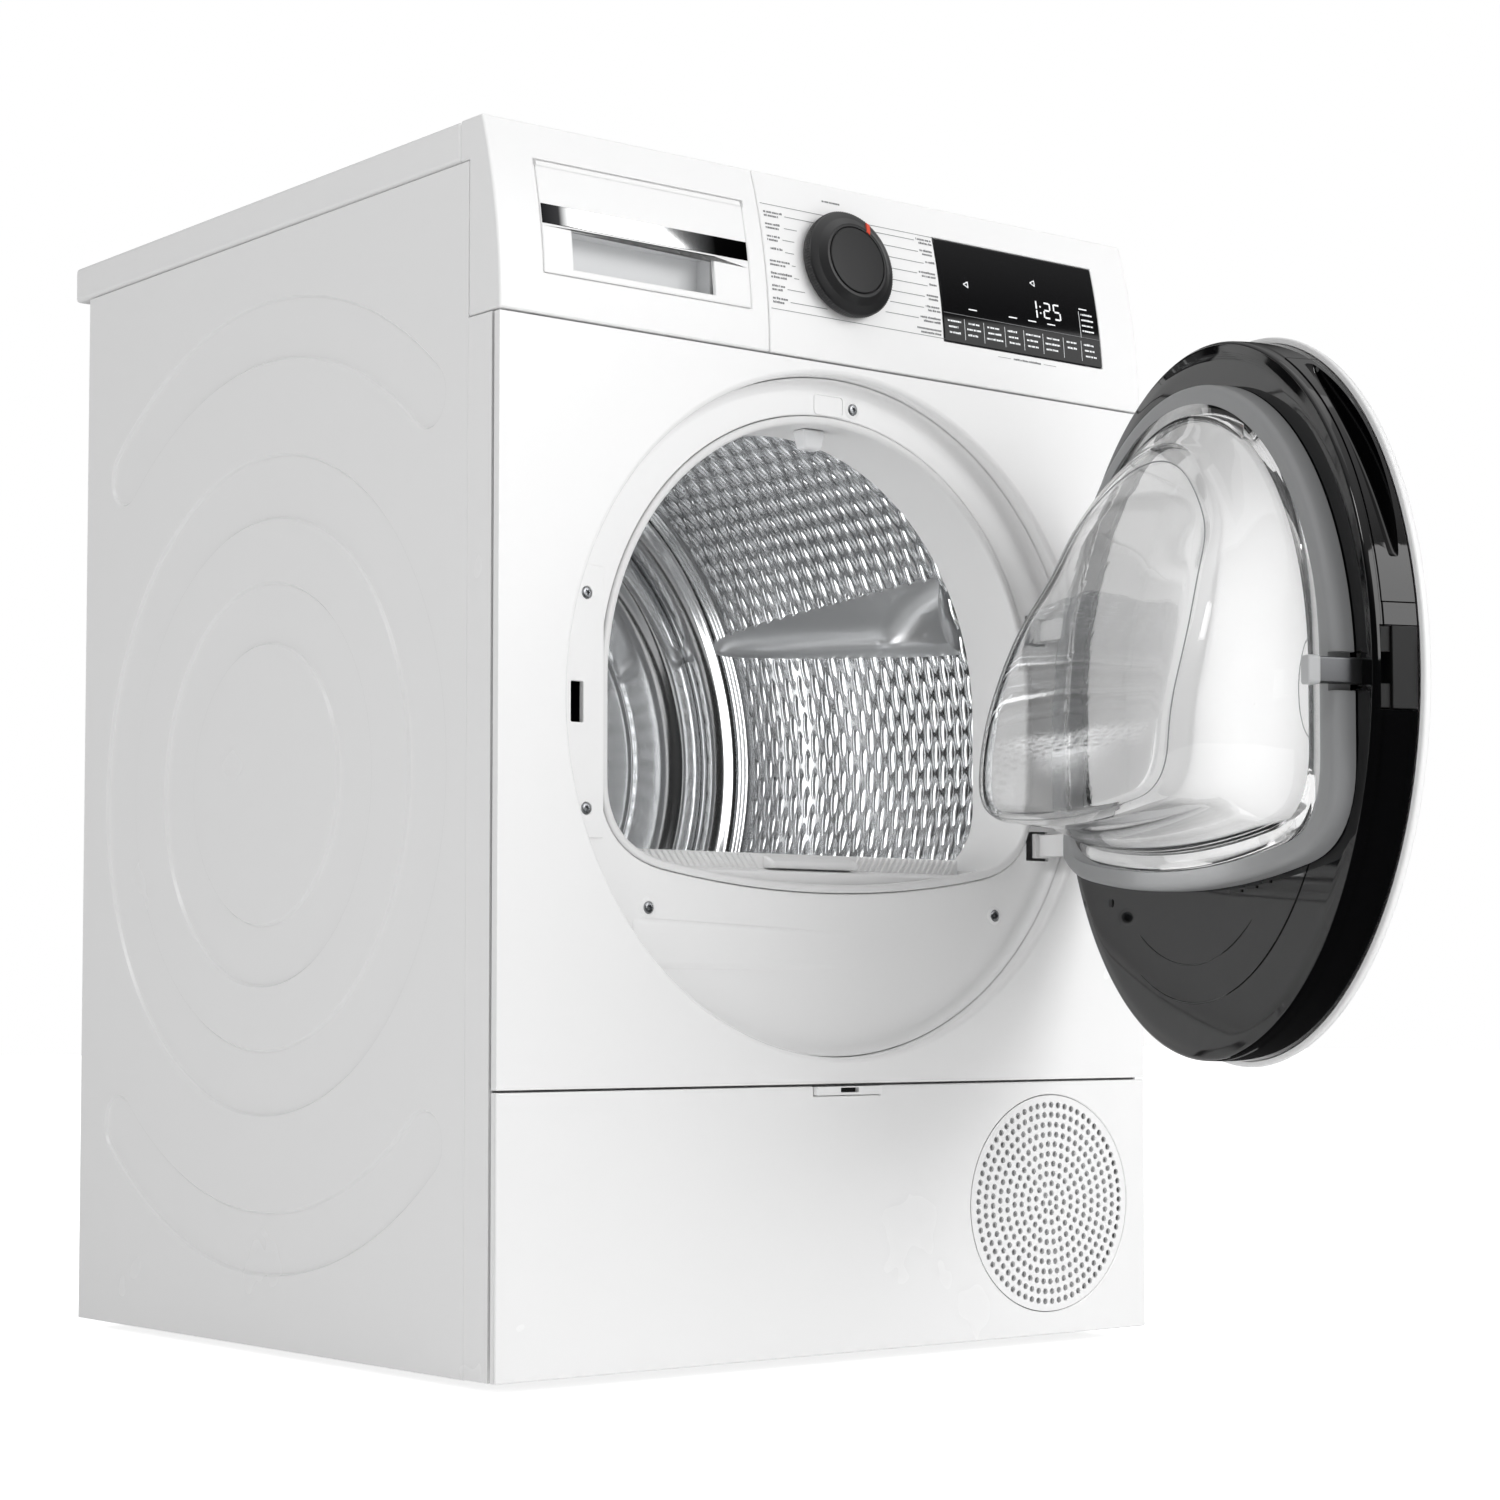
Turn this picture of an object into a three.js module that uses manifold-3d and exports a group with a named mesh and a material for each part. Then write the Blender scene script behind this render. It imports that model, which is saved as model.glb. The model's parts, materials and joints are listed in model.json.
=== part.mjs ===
// Free-standing heat pump clothes dryer, door open. Millimetres, +Z up, front faces -Y.
// The origin is the middle of the flat underside of the base tray.
import * as THREE from "three";
import { mergeVertices } from "three/addons/utils/BufferGeometryUtils.js";
import Module from "manifold-3d";

const wasm = await Module();
wasm.setup();

// ---- driving dimensions ----
const halfWidth = 299;
const topZ = 835;
const footReach = 7;
const trayStep = 1.5; // the rim of the base tray stands this far above its flat middle
const frontY = -300;
const bodyBackY = 276;
const coverBackY = 301;
const sheet = 1.6;
const gap = 0.4;
const panelTopZ = 700.7; // parting line under the control panel
const flapTopZ = 188.8; // parting line over the service flap
const coverLowZ = 807;
const sideFrontY = -263; // front edge of the side panels
const fasciaBackY = -253;
const fasciaLean = 21.5; // how far the top of the control panel leans back
const recessZ = 450; // centre of the door recess, the door and the drum
const recessR = 242;
const ringY = -280; // face of the door surround
const openingZ = 464.6;
const openingR = 195.3;
const tunnelBackY = -221;
const drumR = 285;
const drumFrontY = -218;
const drumBackY = 190;
const hingeX = 228;
const hingeY = -322;
const openAngle = 68.3;
const pivotZ = [527, 364]; // heights of the two door hinges
const knobAt = { x: 3, z: 772.7 };
const grilleAt = { x: 198.6, z: 98, r: 80 };
const reliefAt = { y: 0, z: 404 };
const motorAt = { x: -200, z: 78 };
const beltY = 60;
const rollerAngle = THREE.MathUtils.degToRad(62);
const rollerR = 18;
const roundSteps = 44; // facets of every large round piece

const part = new THREE.Group();
const door = new THREE.Group();
door.position.set(hingeX, hingeY, 0);
door.rotation.z = THREE.MathUtils.degToRad(openAngle);
part.add(door);

// ---- solids ----
function solid(geometry) {
  const bare = geometry.index ? geometry.toNonIndexed() : geometry.clone();
  bare.deleteAttribute("normal");
  bare.deleteAttribute("uv");
  const merged = mergeVertices(bare, 1e-4);
  return new wasm.Manifold(
    new wasm.Mesh({
      numProp: 3,
      vertProperties: merged.attributes.position.array,
      triVerts: new Uint32Array(merged.index.array),
    }),
  );
}

function surface(manifold) {
  const mesh = manifold.getMesh();
  const geometry = new THREE.BufferGeometry();
  geometry.setAttribute("position", new THREE.BufferAttribute(mesh.vertProperties, 3));
  geometry.setIndex(new THREE.BufferAttribute(mesh.triVerts, 1));
  geometry.computeVertexNormals();
  return geometry;
}

function cut(body, ...tools) {
  return surface(tools.reduce((left, tool) => left.subtract(solid(tool)), solid(body)));
}

function join(...bodies) {
  return surface(bodies.slice(1).reduce((sum, body) => sum.add(solid(body)), solid(bodies[0])));
}

function common(a, b) {
  return surface(solid(a).intersect(solid(b)));
}

// ---- shapes ----
function block(x0, x1, y0, y1, z0, z1) {
  const geometry = new THREE.BoxGeometry(x1 - x0, y1 - y0, z1 - z0);
  return geometry.translate((x0 + x1) / 2, (y0 + y1) / 2, (z0 + z1) / 2);
}

// A solid of revolution about an axis along Y; each profile point is [radius, y].
function turned(profile, steps, x = 0, z = recessZ) {
  const points = profile.map(([r, y]) => new THREE.Vector2(r, y));
  if (THREE.ShapeUtils.area(points) < 0) points.reverse();
  const onAxis = points[0].x === 0 && points.at(-1).x === 0;
  if (!onAxis) points.push(points[0].clone());
  return new THREE.LatheGeometry(points, steps).translate(x, 0, z);
}

function ring(inner, outer, y0, y1, steps, x = 0, z = recessZ) {
  return turned([[inner, y0], [outer, y0], [outer, y1], [inner, y1]], steps, x, z);
}

function rod(r, y0, y1, x, z, steps = 20) {
  return turned([[0, y0], [r, y0], [r, y1], [0, y1]], steps, x, z);
}

// An upright rod, axis along Z.
function post(r, z0, z1, x, y, steps = 20) {
  const geometry = new THREE.CylinderGeometry(r, r, z1 - z0, steps).rotateX(Math.PI / 2);
  return geometry.translate(x, y, (z0 + z1) / 2);
}

// A plate cut from an outline drawn in X and Z, lying between two values of Y.
function plate(shape, y0, y1, curveSegments = 8) {
  const geometry = new THREE.ExtrudeGeometry(shape, {
    depth: y1 - y0,
    bevelEnabled: false,
    curveSegments,
  });
  return geometry.rotateX(Math.PI / 2).translate(0, y1, 0);
}

// A bar with an outline drawn in Y and Z, lying between two values of X.
function bar(points, x0, x1) {
  const shape = new THREE.Shape(points.map(([y, z]) => new THREE.Vector2(y, z)));
  const geometry = new THREE.ExtrudeGeometry(shape, { depth: x1 - x0, bevelEnabled: false });
  return geometry.rotateX(Math.PI / 2).rotateZ(Math.PI / 2).translate(x0, 0, 0);
}

// Round on top, straight at the sides, rounded corners and a shallow arc below.
function mouthShape(halfSpan, centreZ, lowZ, cornerR, sag) {
  const shape = new THREE.Shape();
  const cornerX = halfSpan - cornerR;
  const cornerZ = lowZ + sag + cornerR;
  shape.moveTo(halfSpan, centreZ);
  shape.absarc(0, centreZ, halfSpan, 0, Math.PI, false);
  shape.lineTo(-halfSpan, cornerZ);
  shape.quadraticCurveTo(-halfSpan, cornerZ - cornerR * 0.86, -cornerX, lowZ + sag);
  shape.quadraticCurveTo(0, lowZ - sag, cornerX, lowZ + sag);
  shape.quadraticCurveTo(halfSpan, cornerZ - cornerR * 0.86, halfSpan, cornerZ);
  return shape;
}

function openingShape(grow) {
  return mouthShape(openingR + grow, openingZ, 330.5 - grow, 55 + grow, 12);
}

function withHole(outer, inner) {
  outer.holes.push(inner);
  return outer;
}

function add(name, geometry, colour, roughness, metalness, group = part) {
  const material = new THREE.MeshStandardMaterial({ color: colour, roughness, metalness });
  const mesh = new THREE.Mesh(geometry, material);
  mesh.name = name;
  if (group === door) geometry.translate(-hingeX, -hingeY, 0);
  group.add(mesh);
}

const enamel = [0xf3f3f3, 0.35, 0];
const whitePlastic = [0xf0f0f0, 0.4, 0];
const greyPlastic = [0xa9a9a9, 0.5, 0];
const blackPlastic = [0x0b0b0c, 0.15, 0];
const castBlack = [0x2a2b2d, 0.6, 0];
const steel = [0xc4c6c8, 0.28, 1];
const zinc = [0xb4b6b8, 0.4, 1];
const felt = [0x8d8a84, 0.95, 0];
const rubber = [0x1c1c1c, 0.85, 0];

// ---- cabinet ----
function baseTray() {
  const outer = block(-290, 290, -261, 268, trayStep, 60);
  const pad = block(-195, 195, -175, 180, 0, 4);
  const hollow = block(-286, 286, -257, 264, 6, 61);
  const wall = block(-20, -16, -259, 266, 5, 60);
  return join(cut(join(outer, pad), hollow), wall);
}

function foot(x, y) {
  const top = trayStep - gap;
  const profile = [[0, -footReach], [21, -footReach], [21, -4], [9, -3], [9, top], [0, top]];
  const points = profile.map(([r, z]) => new THREE.Vector2(r, z));
  return new THREE.LatheGeometry(points, 14).rotateX(Math.PI / 2).translate(x, y, 0);
}

// The stiffening relief pressed into each side: bands round one centre and an arc above and below.
function reliefTools(outerX, depth) {
  const bands = [[192, 238], [102, 146]].map(([inner, outer]) =>
    ring(inner, outer, -depth, depth, 28, 0, 0),
  );
  const arcs = [90, 270].map((middle) => {
    const low = THREE.MathUtils.degToRad(middle - 41);
    const high = THREE.MathUtils.degToRad(middle + 41);
    const shape = new THREE.Shape();
    shape.absarc(0, 0, 352, low, high, false);
    shape.absarc(330 * Math.cos(high), 330 * Math.sin(high), 22, high, high + Math.PI, false);
    shape.absarc(0, 0, 308, high, low, true);
    shape.absarc(330 * Math.cos(low), 330 * Math.sin(low), 22, low + Math.PI, low + 2 * Math.PI, false);
    return plate(shape, -depth, depth, 7);
  });
  return [...bands, ...arcs].map((tool) =>
    tool.rotateZ(Math.PI / 2).translate(outerX, reliefAt.y, reliefAt.z),
  );
}

function sidePanel(side) {
  const outer = side * halfWidth;
  const skin = outer - side * sheet;
  const hem = outer - side * 13;
  const shape = new THREE.Shape(
    [
      [outer, sideFrontY], [outer, bodyBackY], [hem, bodyBackY], [hem, bodyBackY - sheet],
      [skin, bodyBackY - sheet], [skin, sideFrontY + sheet], [hem, sideFrontY + sheet], [hem, sideFrontY],
    ].map(([x, y]) => new THREE.Vector2(x, y)),
  );
  const height = coverLowZ - 1.5;
  const channel = new THREE.ExtrudeGeometry(shape, { depth: height, bevelEnabled: false });
  return cut(channel.translate(0, 0, 0.5), ...reliefTools(outer, 0.7));
}

// Two corner posts tied together above the service flap and under the control panel.
function frontFrame() {
  const high = sideFrontY - gap;
  const posts = [-1, 1].flatMap((side) => {
    const outer = side * halfWidth;
    const span = (width) => [outer, outer - side * width].sort((a, b) => a - b);
    return [
      block(...span(3), frontY + 9, high, 1, panelTopZ - gap),
      block(...span(22), high - 2, high, 1, panelTopZ - gap),
    ];
  });
  const rails = [176, 686].map((z) => block(-290, 290, high - 8, high, z, z + 14));
  return join(...posts, ...rails);
}

// Sheet front with a rolled lip that leads into the door recess.
function frontPanel() {
  const low = flapTopZ + 0.8;
  const high = panelTopZ - 0.8;
  const face = block(-halfWidth, halfWidth, frontY, frontY + 1.6, low, high);
  const hole = rod(recessR + 5, frontY - 1, frontY + 3, 0, recessZ, roundSteps);
  const lip = turned(
    [
      [recessR + 6.6, frontY + 0.3],
      [recessR + 6.6, frontY + 1.2],
      [recessR + 3.6, frontY + 3],
      [recessR + 2, frontY + 8],
      [recessR + 1.6, ringY - gap],
      [recessR, ringY - gap],
      [recessR + 0.2, frontY + 7],
      [recessR + 1.6, frontY + 2.4],
      [recessR + 3.6, frontY + 0.5],
    ],
    roundSteps,
  );
  const wings = [-1, 1].map((side) => {
    const outer = side * halfWidth;
    return block(...[outer, outer - side * 1.6].sort((a, b) => a - b), frontY, frontY + 6.4, low, high);
  });
  const ledges = [low, high - 1.6].map((z) =>
    block(-halfWidth, halfWidth, frontY, frontY + 6.4, z, z + 1.6),
  );
  return join(cut(face, hole), lip, ...wings, ...ledges);
}

// The white moulding seen inside the recess, with the tunnel that leads to the drum.
function doorSurround() {
  const disc = new THREE.Shape();
  disc.absarc(0, recessZ, recessR + 7, 0, 2 * Math.PI, false);
  const face = plate(withHole(disc, openingShape(0)), ringY, ringY + 3);
  const tunnel = plate(withHole(openingShape(2.5), openingShape(0)), ringY, tunnelBackY);
  const slot = block(-229, -215, ringY - 1, ringY + 6, 434, 462);
  const filterWell = block(-154, 154, ringY + 8, tunnelBackY - 4, 300, 352);
  const lampSeat = block(-13, 13, ringY + 8, ringY + 28, 655, 670);
  const pockets = pivotZ.map((z) => block(196, 217, ringY - 1, ringY + 6, z - 11, z + 11));
  return cut(join(face, tunnel), slot, filterWell, lampSeat, ...pockets);
}

function latchPlate() {
  const low = 357;
  const high = 541;
  const strip = block(-236, -200, ringY - 2.2, ringY - gap, low, high);
  const clipped = common(strip, rod(recessR - 4, ringY - 3, ringY, 0, recessZ, roundSteps));
  const screwHoles = [376.5, 522].map((z) => rod(3.4, ringY - 3, ringY, -214.5, z, 12));
  return cut(clipped, block(-229, -215, ringY - 3, ringY, 434, 462), ...screwHoles);
}

function catchBlock() {
  const outer = block(-234, -210, ringY + 6.4, ringY + 34, 426, 470);
  return cut(outer, block(-230, -214, ringY + 5, ringY + 30, 433, 463));
}

function hingeBracket(z) {
  const base = block(201, 214, ringY - 4, ringY - gap, z - 9, z + 9);
  const neck = block(205, 228, -322, ringY - 3.5, z - 8, z + 8);
  const boss = post(7, z - 8, z + 8, hingeX, hingeY);
  const relief = block(214.5, 240, -312, ringY + 1, z - 9, z + 9);
  return cut(join(base, cut(neck, relief), boss), post(3.4, z - 9, z + 9, hingeX, hingeY));
}

// Annular wall behind the surround that closes the front of the drum.
function frontBulkhead() {
  const disc = new THREE.Shape();
  disc.absarc(0, recessZ, drumR - 5, 0, 2 * Math.PI, false);
  const wall = plate(withHole(disc, openingShape(3)), tunnelBackY - 10, tunnelBackY - 8);
  const rim = ring(drumR - 7, drumR - 5, tunnelBackY - 10, tunnelBackY + 14, roundSteps);
  const axles = [-1, 1].flatMap((side) => {
    const { x, z } = rollerCentre(side);
    return [rod(4, -231, -184, x, z, 16), block(x - 14, x + 14, -233, -229, z - 12, z + 40)];
  });
  return cut(join(wall, rim, ...axles), block(-156, 156, -240, -228, 290, 352));
}

function topCover() {
  const body = block(-halfWidth, halfWidth, fasciaBackY + 0.5, coverBackY, coverLowZ + 0.6, topZ);
  const hollow = block(-halfWidth + 14, halfWidth - 14, fasciaBackY + 12, coverBackY - 16, 800, topZ - 15);
  return cut(body, hollow);
}

function rearPanel() {
  const sheetBack = block(-283, 283, bodyBackY - 3.5, bodyBackY - 2, 4, coverLowZ - 3);
  return cut(sheetBack, rod(10, 260, 280, -230, 720), rod(225, 260, 280, 0, recessZ, 32));
}

function rearDuctCover() {
  return turned(
    [
      [0, bodyBackY + 20],
      [205, bodyBackY + 20],
      [232, bodyBackY],
      [250, bodyBackY],
      [250, bodyBackY - 1.6],
      [231, bodyBackY - 1.6],
      [204, bodyBackY + 18.4],
      [0, bodyBackY + 18.4],
    ],
    32,
  );
}

function powerInlet() {
  const flange = block(-246, -214, bodyBackY - 1.6, bodyBackY + 4, 706, 734);
  const barrel = rod(9, bodyBackY - 14, bodyBackY, -230, 720);
  return cut(join(flange, barrel), block(-240, -220, bodyBackY - 4, bodyBackY + 5, 712, 728));
}

// ---- service flap ----
function serviceFlap() {
  const low = 1;
  const high = flapTopZ - 0.8;
  const face = block(-halfWidth, halfWidth, frontY, frontY + 2.4, low, high);
  const wings = [-1, 1].map((side) => {
    const outer = side * halfWidth;
    return block(...[outer, outer - side * 2].sort((a, b) => a - b), frontY, frontY + 6.4, low, high);
  });
  const knuckle = block(-270, 270, frontY, frontY + 6.4, low, low + 6);
  const hole = rod(grilleAt.r, frontY - 1, frontY + 4, grilleAt.x, grilleAt.z, 28);
  const notch = block(-31, 31, frontY - 1, frontY + 4, high - 7, high + 1);
  return cut(join(face, ...wings, knuckle), hole, notch);
}

function intakeGrille() {
  const { x, z, r } = grilleAt;
  const disc = rod(r - gap, frontY, frontY + 2.4, x, z, 28);
  const slots = [16, 36, 56].map((inner) => ring(inner, inner + 10, frontY - 1, frontY + 4, 20, x, z));
  const spokes = [0, 1].map((turn) =>
    block(-r + 4, r - 4, frontY, frontY + 2.4, -3, 3).rotateY((turn * Math.PI) / 2).translate(x, 0, z),
  );
  return join(cut(disc, ...slots), ...spokes);
}

function flapLatch() {
  const high = flapTopZ - 1.2;
  const tab = block(-30.5, 30.5, frontY - 3, frontY + 2.4, high - 6, high);
  const finger = block(-12, 12, frontY + 2, frontY + 9, high - 6, high);
  return cut(join(tab, finger), block(-8, 8, frontY - 4, frontY + 1, high - 5, high - 1));
}

// ---- control panel ----
function leanAt(z) {
  const rise = Math.max(0, z - panelTopZ) / (topZ - panelTopZ);
  return frontY + fasciaLean * rise * rise;
}

// Points up the curved front between two heights, a given depth behind the surface.
function leanCurve(low, high, depth, steps = 10) {
  return Array.from({ length: steps + 1 }, (_, i) => {
    const z = low + ((high - low) * i) / steps;
    return [leanAt(z) + depth, z];
  });
}

function curvedStrip(low, high, front, back, x0, x1) {
  return bar([...leanCurve(low, high, back).reverse(), ...leanCurve(low, high, front)].reverse(), x0, x1);
}

function fasciaShell(x0, x1, endX) {
  const low = panelTopZ + 0.8;
  const outline = [...leanCurve(low, topZ, 0), [fasciaBackY, topZ], [fasciaBackY, coverLowZ]];
  outline.push([sideFrontY - gap, coverLowZ], [sideFrontY - gap, low]);
  const inner = [...leanCurve(low + 3, topZ - 3, 3), [fasciaBackY + 1, topZ - 3]];
  inner.push([fasciaBackY + 1, low + 3]);
  const body = bar(outline.reverse(), x0, x1);
  const hollowX = endX < 0 ? [x0 + 2.5, x1 + 1] : [x0 - 1, x1 - 2.5];
  return cut(body, bar(inner.reverse(), ...hollowX));
}

function drawerSection() {
  const opening = block(-262.6, -85.6, -310, -240, 730, 809.2);
  return cut(fasciaShell(-halfWidth, -70.3, -1), opening);
}

function controlSection() {
  const glassPocket = block(96, 260.4, -310, -270, 731, 811);
  const knobHole = rod(9, -310, -270, knobAt.x, knobAt.z, 16);
  return cut(fasciaShell(-69.7, halfWidth, 1), glassPocket, knobHole);
}

function drawerFront() {
  const face = curvedStrip(730.6, 808.6, 0, 4, -262, -86.2);
  const stripSeat = curvedStrip(764, 778, -1, 1.6, -262.5, -86);
  const grip = block(-238.4, -117, -310, -280, 735, 762.4);
  return cut(face, stripSeat, grip);
}

function chromeStrip() {
  return curvedStrip(764.3, 777.7, 0, 1.3, -261.8, -86.4);
}

// Water container with the finger cup moulded on its front.
function containerTank() {
  const tank = block(-256, -92, -274, 118, 738, 799);
  const hollow = block(-253.6, -94.4, -268, 115.6, 740.4, 796.6);
  const cup = block(-241, -114.6, -290.8, -272, 732.8, 764.4);
  const fingers = block(-238.4, -117, -293, -276, 735, 762.4);
  return cut(join(tank, cup), hollow, fingers, block(-190, -160, 80, 110, 790, 800));
}

function displayWindow() {
  return curvedStrip(731.6, 810.4, 0, 2.4, 96.6, 259.8);
}

function controlModule() {
  return block(-40, 270, -277, -266, 738, 800);
}

const knobTilt = Math.atan((2 * fasciaLean * (knobAt.z - panelTopZ)) / (topZ - panelTopZ) ** 2);
const knobGroup = new THREE.Group();
knobGroup.position.set(knobAt.x, leanAt(knobAt.z), knobAt.z);
knobGroup.rotation.x = -knobTilt;
part.add(knobGroup);

function knob() {
  const profile = [
    [0, 16], [4, 16], [4, -1], [38.6, -1], [39.2, -2], [39.2, -8], [37, -9.6], [26, -15],
    [24.6, -15], [24.2, -14.2], [0, -14.2],
  ];
  return turned(profile, 28, 0, 0);
}

// ---- door, drawn closed; its group swings it open ----
function doorCover() {
  const profile = [
    [0, -344], [200, -341.6], [242, -337.6], [248, -333.4], [247, -331], [243.5, -331],
    [236, -335.6], [0, -341],
  ];
  return turned(profile, roundSteps);
}

function hingeNotches(fromX) {
  return pivotZ.map((z) => block(fromX, 262, -334, ringY + 2, z - 13.5, z + 13.5));
}

function wedge(fromDeg, toDeg) {
  const shape = new THREE.Shape();
  const [first, last] = [fromDeg, toDeg].map(THREE.MathUtils.degToRad);
  shape.moveTo(-150 * Math.cos(first), recessZ + 150 * Math.sin(first));
  for (let angle = fromDeg; angle <= toDeg + 0.1; angle += (toDeg - fromDeg) / 6) {
    const a = THREE.MathUtils.degToRad(angle);
    shape.lineTo(-275 * Math.cos(a), recessZ + 275 * Math.sin(a));
  }
  shape.lineTo(-150 * Math.cos(last), recessZ + 150 * Math.sin(last));
  return plate(shape, -336, -306);
}

function gasketShape(grow) {
  return mouthShape(222 + grow, 441 + grow * 0.1, 322 - grow, 62 + grow, 12);
}

function doorFrame() {
  const band = turned(
    [
      [240, -330.6], [243.2, -330.6], [243.2, -316], [241, -313], [239, -301.5], [236, -299.4],
      [228, -298], [228, -301], [236, -304], [238, -315],
    ],
    roundSteps,
  );
  const disc = new THREE.Shape();
  disc.absarc(0, recessZ, 236.5, 0, 2 * Math.PI, false);
  const face = plate(withHole(disc, mouthShape(196, openingZ, 345, 50, 10)), -303, -299.5);
  const housing = block(-238, -212, -318, -300, 416, 482);
  const hookSlot = block(-229, -215, -319, -290, 436, 462);
  return cut(join(band, face, housing), ...hingeNotches(203.5), wedge(9.5, 62), hookSlot);
}

function doorHandle() {
  const segment = common(ring(222, 243.2, -330.4, -306.6, roundSteps), wedge(9.7, 61.8));
  const scoop = common(ring(226, 250, -327.4, -309.6, roundSteps), wedge(17, 58));
  return cut(segment, scoop);
}

function doorGasket() {
  const pad = plate(withHole(gasketShape(0), mouthShape(198.5, 456, 334, 54, 11)), -298, ringY - 2.6);
  return cut(pad, ...hingeNotches(200.4), block(-230, -215.5, -299, -275, 437, 461));
}

// The clear bowl: its outline shrinks towards a slanting face that is deepest near the bottom.
function bowlSurface(inset) {
  const outline = mouthShape(187.4 - inset, 456, 346.6 + inset, 49, 9).getPoints(6).slice(0, -1);
  const levels = [[0, 0], [0.25, 0.03], [0.55, 0.08], [0.8, 0.16], [0.95, 0.27], [1, 0.42]];
  const centreZ = 420;
  const rows = levels.map(([rise, shrink]) =>
    outline.map((p) => {
      const x = p.x * (1 - shrink);
      const lift = p.y < centreZ ? 1 - 0.2 * Math.min(1, rise / 0.4) : 1;
      const z = centreZ + (p.y - centreZ) * (1 - shrink) * lift;
      const fall = Math.max(0, z - 400) / 250;
      const reach = 90 - inset - 62 * fall ** 1.3;
      return [x, -296 + inset * 0.2 + rise * reach, z];
    }),
  );
  const count = outline.length;
  const points = rows.flat();
  const last = rows.length - 1;
  const middle = (row) => [0, row.reduce((sum, p) => sum + p[1], 0) / count, centreZ];
  points.push(middle(rows[0]), middle(rows[last]));
  const faces = [];
  for (let level = 0; level < last; level += 1) {
    for (let i = 0; i < count; i += 1) {
      const a = level * count + i;
      const b = level * count + ((i + 1) % count);
      faces.push(a, a + count, b, b, a + count, b + count);
    }
  }
  for (let i = 0; i < count; i += 1) {
    const next = (i + 1) % count;
    faces.push(i, next, points.length - 2);
    faces.push(last * count + next, last * count + i, points.length - 1);
  }
  const geometry = new THREE.BufferGeometry();
  geometry.setAttribute("position", new THREE.Float32BufferAttribute(points.flat(), 3));
  geometry.setIndex(faces);
  return geometry;
}

function doorBowl() {
  const flange = plate(mouthShape(198, 456, 334.5, 54, 11), -298, -284);
  return cut(join(flange, bowlSurface(0)), bowlSurface(4).translate(0, -3, 0));
}

function latchHook() {
  const stem = block(-226, -218, -316, -263, 441, 457);
  const tip = block(-227.5, -218, -270, -263, 441, 457);
  return join(stem, tip);
}

// Two leaves either side of the bracket, tied by the pin that turns in it.
function hingeArm(z) {
  const leaves = [-12, 8.5].map((low) =>
    join(
      block(196, hingeX, -327, -317, z + low, z + low + 3.5),
      post(6, z + low, z + low + 3.5, hingeX, hingeY),
    ),
  );
  const root = block(190, 202, -328, -304, z - 12, z + 12);
  return join(root, ...leaves, post(3, z - 12.5, z + 12.5, hingeX, hingeY, 16));
}

// ---- drum and its supports ----
function drumShell() {
  return turned(
    [
      [drumR - 3, drumFrontY], [drumR + 2, drumFrontY], [drumR + 2, drumBackY], [drumR, drumBackY],
      [drumR, drumFrontY + 1.6], [drumR - 3, drumFrontY + 1.6],
    ],
    roundSteps,
  );
}

function drumRearWall() {
  return turned(
    [
      [0, 196], [60, 196], [150, 196], [205, 184], [240, 196], [268, 190], [drumR + 1.6, 190.4],
      [drumR + 1.6, 192.4], [268, 192.4], [240, 198.4], [206, 186.6], [151, 198.4], [12, 198.4],
      [12, 246], [0, 246],
    ],
    36,
  );
}

function lifter(index) {
  const shape = new THREE.Shape();
  shape.moveTo(drumR - 7, -34);
  shape.quadraticCurveTo(drumR - 50, -22, drumR - 58, 0);
  shape.quadraticCurveTo(drumR - 50, 22, drumR - 7, 34);
  const geometry = new THREE.ExtrudeGeometry(shape, { depth: 300, bevelEnabled: false, curveSegments: 5 });
  geometry.rotateX(Math.PI / 2).translate(0, 176, 0);
  const positions = geometry.attributes.position;
  for (let i = 0; i < positions.count; i += 1) {
    const along = (176 - positions.getY(i)) / 300;
    const taper = 0.55 + 0.45 * along;
    const lift = drumR - 7 - positions.getX(i);
    positions.setX(i, drumR - 7 - lift * taper);
    positions.setZ(i, positions.getZ(i) * taper);
  }
  return geometry.rotateY(-THREE.MathUtils.degToRad(22.5 + 120 * index)).translate(0, 0, recessZ);
}

function drumBelt() {
  const far = { x: motorAt.x, z: motorAt.z, r: 11 };
  const loop = (grow) => {
    const big = drumR + 4.4 + grow;
    const small = far.r + grow;
    const dx = far.x;
    const dz = far.z - recessZ;
    const facing = Math.atan2(dz, dx);
    const lean = Math.acos((big - small) / Math.hypot(dx, dz));
    const shape = new THREE.Shape();
    shape.absarc(0, recessZ, big, facing + lean, facing - lean + 2 * Math.PI, false);
    shape.absarc(far.x, far.z, small, facing - lean, facing + lean, false);
    return shape;
  };
  return plate(withHole(loop(1.6), loop(0)), beltY - 5, beltY + 5, 14);
}

// Belt pulley, motor shaft and fan wheel in one piece.
function motorRotor() {
  const { x, z } = motorAt;
  const shaft = turned(
    [[0, beltY - 8], [10.4, beltY - 8], [10.4, beltY + 8], [6, beltY + 8], [6, 152], [52, 153],
      [52, 155], [14, 156], [14, 178], [0, 178]],
    16, x, z,
  );
  const blades = Array.from({ length: 8 }, (_, i) =>
    block(-1.2, 1.2, 154.5, 180, 34, 52).rotateY((i * Math.PI) / 4).translate(x, 0, z),
  );
  return join(shaft, ...blades, ring(34, 52, 179, 181, 16, x, z));
}

const tensionPivot = { x: -60, z: 50 };
const tensionPulleyAt = { x: -103.4, z: 82.1 };

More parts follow.
